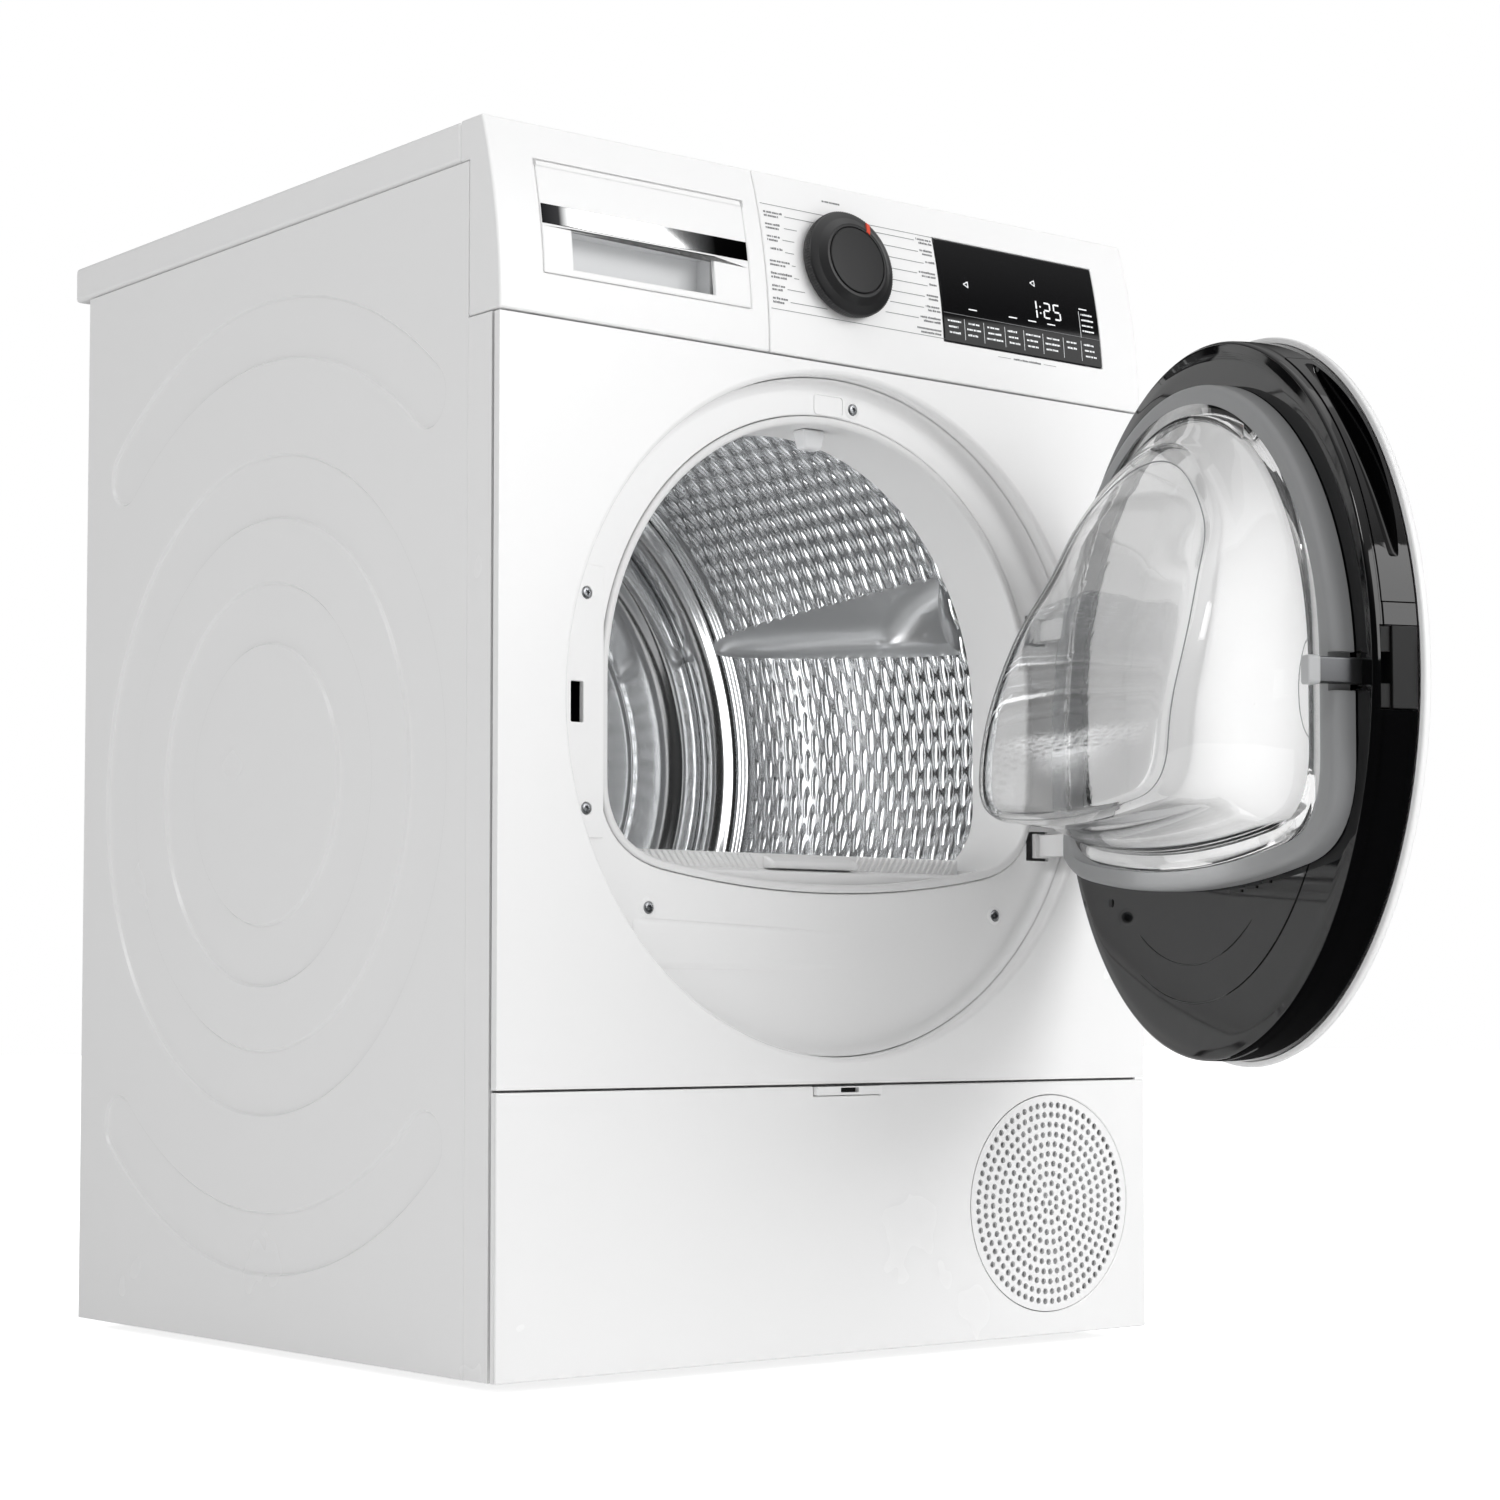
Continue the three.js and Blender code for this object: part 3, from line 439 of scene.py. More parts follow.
def onLean(bm, z0, z1, cuts=14, reach=0.0):
    # slices a flat piece and lays it on the leaning front of the control panel
    for k in range(1, cuts):
        level = z0 + (z1 - z0) * k / cuts
        bmesh.ops.bisect_plane(
            bm, geom=bm.verts[:] + bm.edges[:] + bm.faces[:], plane_co=(0, 0, level), plane_no=(0, 0, 1)
        )
    for v in bm.verts:
        v.co.y += leanAt(v.co.z) - place["frontY"] + reach


def carved(mesh, cutters, name):
    # takes the cutter boxes out of a closed mesh
    host = bpy.data.objects.new(name, mesh)
    bpy.context.scene.collection.objects.link(host)
    bm = bmesh.new()
    for box in cutters:
        if isinstance(box, bmesh.types.BMesh):
            other = bpy.data.meshes.new("cutter")
            box.to_mesh(other)
            bm.from_mesh(other)
            bpy.data.meshes.remove(other)
        else:
            block(bm, *box)
    bmesh.ops.recalc_face_normals(bm, faces=bm.faces)
    toolMesh = bpy.data.meshes.new("cutter")
    bm.to_mesh(toolMesh)
    bm.free()
    tool = bpy.data.objects.new("cutter", toolMesh)
    bpy.context.scene.collection.objects.link(tool)
    cut = host.modifiers.new("cut", "BOOLEAN")
    cut.operation = "DIFFERENCE"
    cut.solver = "EXACT"
    cut.use_self = True
    cut.object = tool
    bpy.context.view_layer.update()
    result = bpy.data.meshes.new_from_object(host.evaluated_get(bpy.context.evaluated_depsgraph_get()))
    bpy.data.objects.remove(host)
    bpy.data.objects.remove(tool)
    return result


# ---- geometry node trees


def newTree(name, inputs):
    tree = bpy.data.node_groups.new(name, "GeometryNodeTree")
    tree.interface.new_socket("Geometry", in_out="INPUT", socket_type="NodeSocketGeometry")
    for label, kind, value in inputs:
        socket = tree.interface.new_socket(label, in_out="INPUT", socket_type=f"NodeSocket{kind}")
        if value is not None:
            socket.default_value = value
    tree.interface.new_socket("Geometry", in_out="OUTPUT", socket_type="NodeSocketGeometry")
    return tree, tree.nodes.new("NodeGroupInput"), tree.nodes.new("NodeGroupOutput")


def sum2(tree, kind, a, b):
    return addNode(tree, "ShaderNodeMath", {0: a, 1: b}, operation=kind).outputs[0]


def endTree(tree, out, geometry, material):
    real = addNode(tree, "GeometryNodeRealizeInstances", {"Geometry": geometry})
    dressed = addNode(tree, "GeometryNodeSetMaterial", {"Geometry": real.outputs[0], "Material": material})
    tree.links.new(dressed.outputs[0], out.inputs[0])


def grown(tree, host, values):
    # runs a tree on a host mesh and gives the plain mesh it makes
    made = bpy.data.objects.new("host", host)
    bpy.context.scene.collection.objects.link(made)
    modifier = made.modifiers.new("grow", "NODES")
    modifier.node_group = tree
    for item in tree.interface.items_tree:
        if item.item_type == "SOCKET" and item.in_out == "INPUT" and item.name in values:
            modifier[item.identifier] = values[item.name]
    bpy.context.view_layer.update()
    result = bpy.data.meshes.new_from_object(made.evaluated_get(bpy.context.evaluated_depsgraph_get()))
    bpy.data.objects.remove(made)
    return result


def spreadTree():
    # puts a unit shape on every vertex of the host, all turned the same way
    tree, start, out = newTree(
        "spreadOnPoints",
        [
            ("Unit", "Object", None), ("Turn", "Vector", None), ("Size", "Float", 1.0),
            ("Dress", "Material", None)
        ]
    )
    unit = addNode(tree, "GeometryNodeObjectInfo", {"Object": start.outputs["Unit"]})
    put = addNode(
        tree, "GeometryNodeInstanceOnPoints",
        {
            "Points": start.outputs["Geometry"], "Instance": unit.outputs["Geometry"],
            "Rotation": start.outputs["Turn"], "Scale": start.outputs["Size"]
        }
    )
    endTree(tree, out, put.outputs[0], start.outputs["Dress"])
    return tree


def spread(points, unitMesh, turn=(0, 0, 0), size=1.0, material=None):
    unit = bpy.data.objects.new("unit", unitMesh)
    bpy.context.scene.collection.objects.link(unit)
    host = bpy.data.meshes.new("points")
    host.from_pydata([tuple(p) for p in points], [], [])
    mesh = grown(spreader, host, {"Unit": unit, "Turn": turn, "Size": size, "Dress": material})
    bpy.data.objects.remove(unit)
    return mesh


spreader = spreadTree()


# ---- cabinet sides

side = {
    "centre": (0.0, 404.0),
    "bands": [102.0, 146.0, 192.5, 238.5],
    "arcs": (308.0, 352.0),
    "spread": 40.4,
    "depth": 2.3,
    "slope": 2.4,
    "steps": 132,
    "wall": 0.8,
}


def slotOutline(grow, middle):
    # the rounded arc channel, grown outwards by a little
    low, high = (math.radians(middle + s * side["spread"]) for s in (-1, 1))
    inner, outer = side["arcs"]
    mid, cap = (inner + outer) / 2, (outer - inner) / 2 + grow
    cy, cz = side["centre"]
    points = []
    for k in range(41):
        a = low + (high - low) * k / 40
        points.append((cy + (mid + cap) * math.cos(a), cz + (mid + cap) * math.sin(a)))
    for k in range(1, 12):
        a = high + math.pi * k / 12
        points.append(
            (cy + mid * math.cos(high) + cap * math.cos(a), cz + mid * math.sin(high) + cap * math.sin(a))
        )
    for k in range(41):
        a = high + (low - high) * k / 40
        points.append((cy + (mid - cap) * math.cos(a), cz + (mid - cap) * math.sin(a)))
    for k in range(1, 12):
        a = low + math.pi + math.pi * k / 12
        points.append(
            (cy + mid * math.cos(low) + cap * math.cos(a), cz + mid * math.sin(low) + cap * math.sin(a))
        )
    return points


def sidePanel(name, node, sign):
    low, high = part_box(node)
    y0, y1, z0, z1 = low.y / mm, high.y / mm, low.z / mm, high.z / mm
    x = sign * place["sideX"]
    bm = bmesh.new()

    def ring(points, depth):
        return [bm.verts.new((x - sign * depth, y, z)) for y, z in points]

    def loopEdges(verts):
        return [bm.edges.new((verts[i], verts[(i + 1) % len(verts)])) for i in range(len(verts))]

    def bridge(rows):
        for a, b in zip(rows, rows[1:]):
            for i in range(len(a)):
                j = (i + 1) % len(a)
                bm.faces.new((a[i], a[j], b[j], b[i]))

    def step(t):
        return t * t * (3 - 2 * t)

    cy, cz = side["centre"]
    profile = []  # (radius, depth) from the rim of the relief inwards
    bands = side["bands"][::-1]
    profile.append((bands[0] + 7, 0.0))
    for k, r in enumerate(bands):
        start, end = (0.0, side["depth"]) if k % 2 == 0 else (side["depth"], 0.0)
        for s in range(7):
            profile.append((r + side["slope"] * (0.5 - s / 6), start + (end - start) * step(s / 6)))
    profile.append((bands[-1] - 12, 0.0))
    count = side["steps"]
    rows = []
    for r, depth in profile:
        rows.append(
            ring(
                [(cy + r * math.cos(2 * math.pi * i / count), cz + r * math.sin(2 * math.pi * i / count)) for i in range(count)],
                depth
            )
        )
    bridge(rows)
    bm.faces.new(rows[-1])
    edges = [bm.edges.get((rows[0][i], rows[0][(i + 1) % count])) for i in range(count)]
    for middle in (90, 270):
        rows = []
        for s in range(7):
            rows.append(ring(slotOutline(side["slope"] * (0.5 - s / 6), middle), side["depth"] * step(s / 6)))
        bridge(rows)
        outer, inner = rows[0], rows[-1]
        edges += [bm.edges.get((outer[i], outer[(i + 1) % len(outer)])) for i in range(len(outer))]
        floor = [bm.edges.get((inner[i], inner[(i + 1) % len(inner)])) for i in range(len(inner))]
        bmesh.ops.triangle_fill(bm, use_beauty=True, edges=floor)
    border = ring([(y0, z0), (y1, z0), (y1, z1), (y0, z1)], 0.0)
    rim = loopEdges(border)
    bmesh.ops.triangle_fill(bm, use_beauty=True, edges=edges + rim)
    bmesh.ops.recalc_face_normals(bm, faces=bm.faces)
    if sum(f.normal.x * f.calc_area() for f in bm.faces) * sign < 0:
        bmesh.ops.reverse_faces(bm, faces=bm.faces)
    folded = bmesh.ops.extrude_edge_only(bm, edges=rim)
    bmesh.ops.translate(
        bm, vec=(-sign * 12, 0, 0), verts=[g for g in folded["geom"] if isinstance(g, bmesh.types.BMVert)]
    )
    mesh = toMesh(bm, name, outward=False)
    made = keepPiece(name, mesh, finishes["enamel"], "cabinet", [node], sharp=50)
    wall = made.modifiers.new("wall", "SOLIDIFY")
    wall.thickness = side["wall"] * mm
    wall.offset = -1
    soften(made, 1.4, 3, 60)


for name, node, sign in (("sidePanelLeft", "side_panel_left", -1), ("sidePanelRight", "side_panel_right", 1)):
    sidePanel(name, node, sign)
print("side panels made")


# ---- front panel

front = {"lipR": 246.6, "fillet": 4.3, "wall": 0.8, "fold": 6.2, "steps": 192}


def frontPanel():
    low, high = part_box("front_panel")
    x0, x1, z0, z1 = low.x / mm, high.x / mm, low.z / mm, high.z / mm
    y = place["frontY"]
    count, r, f = front["steps"], front["lipR"], front["fillet"]
    profile = [
        (r - f * math.sin(a), y + f * (1 - math.cos(a))) for a in [math.pi / 2 * k / 7 for k in range(8)]
    ]
    profile.append((place["recessR"], place["ringY"] - 0.4))
    bm = bmesh.new()
    rows = lofted(bm, [atDepth(circle(radius, count), depth) for radius, depth in profile])
    edges = [bm.edges.get((rows[0][i], rows[0][(i + 1) % count])) for i in range(count)]
    border = [bm.verts.new(p) for p in ((x0, y, z0), (x1, y, z0), (x1, y, z1), (x0, y, z1))]
    rim = [bm.edges.new((border[i], border[(i + 1) % 4])) for i in range(4)]
    bmesh.ops.triangle_fill(bm, use_beauty=True, edges=edges + rim)
    bmesh.ops.recalc_face_normals(bm, faces=bm.faces)
    if sum(face.normal.y * face.calc_area() for face in bm.faces) > 0:
        bmesh.ops.reverse_faces(bm, faces=bm.faces)
    folded = bmesh.ops.extrude_edge_only(bm, edges=rim)
    bmesh.ops.translate(
        bm, vec=(0, front["fold"], 0), verts=[g for g in folded["geom"] if isinstance(g, bmesh.types.BMVert)]
    )
    made = keepPiece(
        "frontPanel", toMesh(bm, "frontPanel", outward=False), finishes["enamel"], "cabinet", ["front_panel"],
    )
    wall = made.modifiers.new("wall", "SOLIDIFY")
    wall.thickness = front["wall"] * mm
    wall.offset = -1
    soften(made, 1.6, 3, 60)


frontPanel()
print("front panel made")


# ---- door surround, tunnel and what is on them

mouth = {"steps": 192, "opening": (195.3, 464.6, 330.5, 55, 12), "gapOut": 6.6, "rim": 6.0}
openingLine = mouthOutline(*mouth["opening"])


def openingRing(grow, y):
    return atDepth(byAngle(openingLine, mouth["steps"], grow), y)


def doorSurround():
    y = place["ringY"]
    count = mouth["steps"]
    profile = [("circle", 241.6, y + 2.6), ("circle", 241.6, y - 8)]
    profile += [
        (
            "circle", 233.6 + 8 * math.cos(a), y - 8 + 8 * math.sin(a)
        ) for a in [math.pi / 2 * k / 6 for k in range(1, 7)]
    ]
    profile += [("mouth", mouth["gapOut"] + 1.4, y)]
    profile += [
        (
            "mouth", mouth["gapOut"] + 1.4 * (1 - math.sin(a)), y + 1.4 * (1 - math.cos(a))
        ) for a in [math.pi / 2 * k / 4 for k in range(1, 5)]
    ]
    profile += [("mouth", mouth["gapOut"], y + 2.6)]
    rings = [
        atDepth(circle(r, count), depth) if kind == "circle" else openingRing(r, depth) for kind, r,
        depth in profile
    ]
    bm = bmesh.new()
    lofted(bm, rings, loop=True)
    slots = [(-228, -217.2, y - 3, y + 6, 434, 462)]
    slots += [(195, 217, y - 3, y + 6, z - 11, z + 11) for z in (527, 364)]
    mesh = carved(toMesh(bm, "surround"), slots, "surround")
    made = keepPiece("doorSurround", mesh, finishes["abs"], "cabinet", ["door_surround"])
    soften(made, 0.6, 2, 60)


def tunnel():
    y, back = place["ringY"], place["tunnelBackY"]
    loop = eased(
        [
            (mouth["rim"], y + 4, 0), (mouth["rim"], y - 1.2, 1.6), (0, y - 1.2, 3.0), (0, back, 0),
            (2.3, back, 0), (2.3, y + 4, 0)
        ],
        5
    )
    bm = bmesh.new()
    lofted(bm, [openingRing(grow, depth) for grow, depth in loop], loop=True)
    mesh = carved(toMesh(bm, "tunnel"), [(-153, 153, y + 8.5, back - 4.5, 300, 360)], "tunnel")
    # the tunnel's finish is painted darker than the white panels, as painted shade
    keepPiece("tunnel", mesh, finishes["tunnel"], "cabinet")


def embossedBand():
    # the shallow shelf pressed into the lower crescent, fading out to the right
    y = place["ringY"]
    bm = bmesh.new()
    rows = []
    for i in range(61):
        t = i / 60
        x = -176 + 214 * t
        fade = min(1.0, (1 - t) * 1.9) * min(1.0, t * 14)
        high, low = 300 - 9 * t, 274
        row = []
        for k in range(25):
            s = k / 24
            z = low - 5 + (high - low + 10) * s
            edge = min(1.0, s * 7, (1 - s) * 9)
            smooth = edge * edge * (3 - 2 * edge)
            row.append(bm.verts.new((x, y + 0.15 - 1.9 * fade * smooth, z)))
        rows.append(row)
    for a, b in zip(rows, rows[1:]):
        for k in range(24):
            bm.faces.new((a[k], a[k + 1], b[k + 1], b[k]))
    bmesh.ops.recalc_face_normals(bm, faces=bm.faces)
    if sum(f.normal.y for f in bm.faces) > 0:
        bmesh.ops.reverse_faces(bm, faces=bm.faces)
    made = keepPiece(
        "embossedBand", toMesh(bm, "band", outward=False), finishes["abs"], "cabinet"
    )
    wall = made.modifiers.new("wall", "SOLIDIFY")
    wall.thickness = 0.3 * mm
    wall.offset = -1


def latchPlate():
    y = place["ringY"]
    outline = []
    for k in range(25):
        z = 541 - (541 - 357) * k / 24
        reach = math.sqrt(238.2**2 - (z - place["axisZ"]) ** 2)
        outline.append((-min(234.4, reach), z))
    outline = [(-200.4, 541)] + outline + [(-200.4, 357)]
    holes = [roundedBox(-227.6, -217.4, 434.2, 461.8, 1.2)] + [circle(4.3, 24, -214.5, z) for z in (376.5, 522)]
    bm = sheetPlate(outline, holes, y - 2.0, y - 0.2)
    made = keepPiece(
        "latchPlate", toMesh(bm, "latchPlate"), finishes["abs"], "cabinet", ["latch_plate"],
    )
    soften(made, 0.7, 3, 50)


def ratingPlate():
    y = place["ringY"]
    bm = sheetPlate(
        roundedBox(-13.5, 14.5, 667, 682.5, 3.2), [roundedBox(-12.4, 13.4, 668.1, 681.4, 2.4)], y - 0.7, y + 0.4
    )
    mesh = toMesh(bm, "ratingRim")
    made = keepPiece("ratingRim", mesh, finishes["abs"], "cabinet")
    soften(made, 0.3, 2, 50)


def lampLens():
    # translucent nub in the roof of the tunnel that lights the drum
    y = -266
    bm = bmesh.new()
    verts = block(bm, -11, 11, y, y + 14, 645, 659.4)
    for v in verts:
        if v.co.z < 650:
            v.co.x *= 0.78
            v.co.y += 2.5 if v.co.y < y + 5 else -2
    made = keepPiece(
        "lampLens", toMesh(bm, "lamp"), finishes["clearMould"], "cabinet", ["lamp_lens"]
    )
    soften(made, 2.4, 3, 40)


def screwUnit():
    # pan head with a six-lobed recess, facing -Y
    bm = bmesh.new()
    count = 36
    lobes = [1.75 + 0.4 * math.cos(6 * 2 * math.pi * i / count) for i in range(count)]
    flat = [
        (r * math.cos(2 * math.pi * i / count), r * math.sin(2 * math.pi * i / count)) for i,
        r in enumerate(lobes)
    ]
    round_ = [(4.1, 0.4), (4.1, -0.6), (3.6, -1.5), (2.9, -1.9)]
    rings = [
        [
            Vector(
                (r * math.cos(2 * math.pi * i / count), y, r * math.sin(2 * math.pi * i / count))
            ) for i in range(count)
        ] for r,
        y in round_
    ]
    rings += [atDepth(flat, -1.95), atDepth([(0.92 * a, 0.92 * b) for a, b in flat], -0.4)]
    lofted(bm, rings, capFirst=True, capLast=True)
    return toMesh(bm, "screw")


def surroundScrews():
    y = place["ringY"]
    points = [
        (22.5, y - 0.1, 674), (-161.5, y - 0.1, 311), (161.5, y - 0.1, 311), (-214.5, y - 0.2, 376.5),
        (-214.5, y - 0.2, 522)
    ]
    mesh = spread(points, screwUnit(), material=finishes["zinc"])
    keepPiece("surroundScrews", mesh, finishes["zinc"], "cabinet")
    seat = eased([(4.4, -0.9, 0), (5.0, -0.9, 0.2), (7.2, 0.3, 0), (7.2, 1.0, 0), (4.4, 1.0, 0)], 2)
    ring = turned([(r, v) for r, v in seat], 36, 0, 0)
    mesh = spread(points[:3], ring, material=finishes["abs"])
    keepPiece("screwSeats", mesh, finishes["abs"], "cabinet")


doorSurround()
tunnel()
embossedBand()
latchPlate()
ratingPlate()
lampLens()
surroundScrews()
print("door surround made")


# ---- drum

drum = {
    
    "ridges": [166.0, 171.0, 176.0],
    "scalePitch": 9.0,
    "scaleLength": 32.0,
    "scaleWidth": 9.4,
    "scaleHeight": 2.6,
    "around": 56,
    "rows": 41,
    "scaleStart": -206.0,
}


def drumShell():
    r, y0, y1 = place["drumR"], place["drumFrontY"], place["drumBackY"]
    inner = [(r - 2.6, y0 + 0.4), (r - 3.2, y0 + 1.4), (r - 3.0, y0 + 3), (r - 1.4, y0 + 5), (r, y0 + 8)]
    for at in drum["ridges"]:
        inner += [(r, at - 2.2), (r - 1.3, at - 1.1), (r - 1.9, at), (r - 1.3, at + 1.1), (r, at + 2.2)]
    inner += [(r, y1)]
    profile = inner + [(r + 1.8, y1), (r + 1.8, y0 + 0.6), (r, y0)]
    keepPiece("drumShell", turned(profile, 192), finishes["steel"], "drum", ["drum_shell"])


def scaleUnit():
    # one embossed drop, standing off the wall towards the axis (-X here), long in Z
    bm = bmesh.new()
    halfLength, halfWidth, height = drum["scaleLength"] / 2, drum["scaleWidth"] / 2, drum["scaleHeight"]
    rows = []
    for k in range(1, 8):
        u = -1 + k / 4
        w = halfWidth * (1 - abs(u) ** 2.4) ** 0.6
        h = height * (1 - abs(u) ** 2.2)
        rows.append(
            [bm.verts.new((-h * (1 - v * v) + 0.05, w * v, halfLength * u)) for v in (-1, -0.55, 0, 0.55, 1)]
        )
    ends = [bm.verts.new((0.05, 0, s * halfLength)) for s in (-1, 1)]
    for a, b in zip(rows, rows[1:]):
        for k in range(4):
            bm.faces.new((a[k], a[k + 1], b[k + 1], b[k]))
    for k in range(4):
        bm.faces.new((rows[0][k + 1], rows[0][k], ends[0]))
        bm.faces.new((rows[-1][k], rows[-1][k + 1], ends[1]))
    bmesh.ops.recalc_face_normals(bm, faces=bm.faces)
    if sum(f.normal.x for f in bm.faces) > 0:
        bmesh.ops.reverse_faces(bm, faces=bm.faces)
    mesh = toMesh(bm, "scale", outward=False)
    mesh.shade_smooth()
    return mesh


def scaleTree():
    # staggered rows of drops round the inside of a cylinder about an axis along Y
    tree, start, out = newTree(
        "drumScales",
        [
            ("Radius", "Float", 285.0), ("Centre", "Float", 450.0), ("First", "Float", 0.0),
            ("Pitch", "Float", 10.0), ("Around", "Int", 60), ("Rows", "Int", 30), ("Dress", "Material", None)
        ]
    )
    total = sum2(tree, "MULTIPLY", start.outputs["Around"], start.outputs["Rows"])
    line = addNode(tree, "GeometryNodeMeshLine", {"Count": total})
    index = addNode(tree, "GeometryNodeInputIndex").outputs[0]
    row = sum2(tree, "FLOOR", sum2(tree, "DIVIDE", index, start.outputs["Around"]), 0.0)
    column = sum2(tree, "MODULO", index, start.outputs["Around"])
    stagger = sum2(tree, "MULTIPLY", sum2(tree, "MODULO", row, 2.0), 0.5)
    share = sum2(tree, "DIVIDE", sum2(tree, "ADD", column, stagger), start.outputs["Around"])
    angle = sum2(tree, "MULTIPLY", share, 2 * math.pi)
    x = sum2(tree, "MULTIPLY", start.outputs["Radius"], sum2(tree, "COSINE", angle, 0.0))
    z = sum2(
        tree, "ADD", start.outputs["Centre"],
        sum2(tree, "MULTIPLY", start.outputs["Radius"], sum2(tree, "SINE", angle, 0.0))
    )
    y = sum2(tree, "ADD", start.outputs["First"], sum2(tree, "MULTIPLY", row, start.outputs["Pitch"]))
    spot = addNode(tree, "ShaderNodeCombineXYZ", {"X": x, "Y": y, "Z": z})
    turn = addNode(tree, "ShaderNodeCombineXYZ", {"Y": sum2(tree, "MULTIPLY", angle, -1.0)})
    moved = addNode(tree, "GeometryNodeSetPosition", {"Geometry": line.outputs[0], "Position": spot.outputs[0]})
    put = addNode(
        tree, "GeometryNodeInstanceOnPoints",
        {"Points": moved.outputs[0], "Instance": start.outputs["Geometry"], "Rotation": turn.outputs[0]}
    )
    endTree(tree, out, put.outputs[0], start.outputs["Dress"])
    return tree


def drumScales():
    values = {
        "Radius": place["drumR"], "Centre": place["axisZ"], "First": drum["scaleStart"],
        "Pitch": drum["scalePitch"], "Around": drum["around"], "Rows": drum["rows"], "Dress": finishes["scaled"]
    }
    mesh = grown(scaleTree(), scaleUnit(), values)
    keepPiece("drumScales", mesh, finishes["scaled"], "drum", sharp=80)
    print("drum scales", len(mesh.polygons), "faces")


def drumBack():
    r, y = place["drumR"], place["drumBackY"]
    faceOff = [
        (r - 0.5, y - 9), (r - 3, y - 7), (r - 8, y - 1), (r - 16, y + 3.6), (r - 24, y + 4.6),
        (r - 30, y + 2.4), (r - 36, y - 3), (r - 46, y - 6), (r - 56, y - 4.5)
    ]
    faceOff += [
        (r - 64, y + 1), (r - 76, y + 5), (r - 96, y + 6), (r - 104, y + 4.6), (r - 110, y + 5.8), (150, y + 6),
        (62, y + 6), (58, y + 4), (20, y + 3.4), (2, y + 3.2)
    ]
    smooth = []
    for k in range(len(faceOff) - 1):
        p = [Vector(faceOff[max(0, min(len(faceOff) - 1, k + o))]) for o in (-1, 0, 1, 2)]
        for s in range(3):
            t = s / 3
            q = 0.5 * (
                (2 * p[1]) + (p[2] - p[0]) * t + (
                    2 * p[0] - 5 * p[1] + 4 * p[2] - p[3]
                ) * t * t + (3 * p[1] - p[0] - 3 * p[2] + p[3]) * t**3
            )
            smooth.append((q.x, q.y))
    smooth.append(faceOff[-1])
    back = [
        (2, y + 9.4), (150, y + 9.4), (r - 60, y + 9.4), (r + 1.4, y + 8.4), (r + 1.4, y + 0.6),
        (r - 2, y - 0.2)
    ]
    keepPiece(
        "drumBack", turned(smooth + back, 160), finishes["steel"], "drum", ["drum_rear_wall"]
    )


def drumHoles():
    # air holes in the back wall, drawn as rings of dimples in the dark finish: their darkness is painted shade for
    # the open holes
    unit = turned(
        [(3.1, 0.2), (3.1, -0.7), (2.7, -1.0), (2.1, -0.6), (1.9, 0.4), (0.01, 0.5)], 14, 0, 0, loop=False
    )
    points = []
    for ring in range(7):
        r = 74 + ring * 11.0
        count = int(2 * math.pi * r / 11.5)
        points += [
            (
                r * math.cos(2 * math.pi * (i + 0.5 * (ring % 2)) / count), place["drumBackY"] + 5.6,
                place["axisZ"] + r * math.sin(2 * math.pi * (i + 0.5 * (ring % 2)) / count)
            ) for i in range(count)
        ]
    mesh = spread(points, unit, material=finishes["darkIronAndHoleShade"])
    keepPiece("drumAirHoles", mesh, finishes["darkIronAndHoleShade"], "drum")


lifter = {"width": 36.0, "height": 52.0, "mouthY": -124.0, "tipY": 182.0, "first": 22.5}


def drumLifter(index):
    # a wedge that is broad at the mouth and runs out to a point at the back
    r = place["drumR"]
    bm = bmesh.new()
    rings = []
    stations = 26
    for k in range(stations):
        t = k / (stations - 1)
        y = lifter["mouthY"] + (lifter["tipY"] - lifter["mouthY"]) * t
        swell = (1 - t) ** 0.8 * 0.93 + 0.07
        nose = min(1.0, (t * stations + 0.4) / 3.4) ** 0.5
        ring = []
        for s in range(25):
            u = -1 + 2 * s / 24
            crest = (1 - abs(u) ** 1.7) ** 1.15
            lean = 0.22 * crest
            height = lifter["height"] * swell * nose * crest
            ring.append(Vector((r + 1.0 - height, y, (u - lean) * lifter["width"] * (swell * 0.8 + 0.2))))
        for u in (0.9, -0.9):
            ring.append(Vector((r + 1.4, y, u * lifter["width"] * (swell * 0.8 + 0.2))))
        rings.append(ring)
    lofted(bm, rings, capFirst=True, capLast=True)
    mesh = toMesh(bm, "lifter")
    turn = Matrix.Translation((0, 0, place["axisZ"])) @ Matrix.Rotation(
        -math.radians(lifter["first"] + 120 * index), 4, "Y"
    )
    mesh.transform(turn)
    keepPiece(
        f"lifter{index + 1}", mesh, finishes["lifter"], "drum", [f"lifter_{index + 1}"],
        sharp=50
    )


drumShell()
drumScales()
drumBack()
drumHoles()
for index in range(3):
    drumLifter(index)
print("drum made")


# ---- lint filter

lint = {
    "halfWidth": 151.6, "rim": (-270.0, -251.0, 333.0, 341.0), "crest": (-250.0, -227.0, 353.0), "rib": 5.6,
    "handle": (-37, 45)
}


def ribTree():
    # slanting ribs in a row, cut from one bar
    tree, start, out = newTree(
        "slantRibs",
        [
            ("Count", "Int", 20), ("Step", "Vector", None), ("First", "Vector", None), ("Turn", "Vector", None),
            ("Dress", "Material", None)
        ]
    )
    line = addNode(
        tree, "GeometryNodeMeshLine",
        {
            "Count": start.outputs["Count"], "Start Location": start.outputs["First"],
            "Offset": start.outputs["Step"]
        }
    )
    put = addNode(
        tree, "GeometryNodeInstanceOnPoints",
        {"Points": line.outputs[0], "Instance": start.outputs["Geometry"], "Rotation": start.outputs["Turn"]}
    )
    endTree(tree, out, put.outputs[0], start.outputs["Dress"])
    return tree


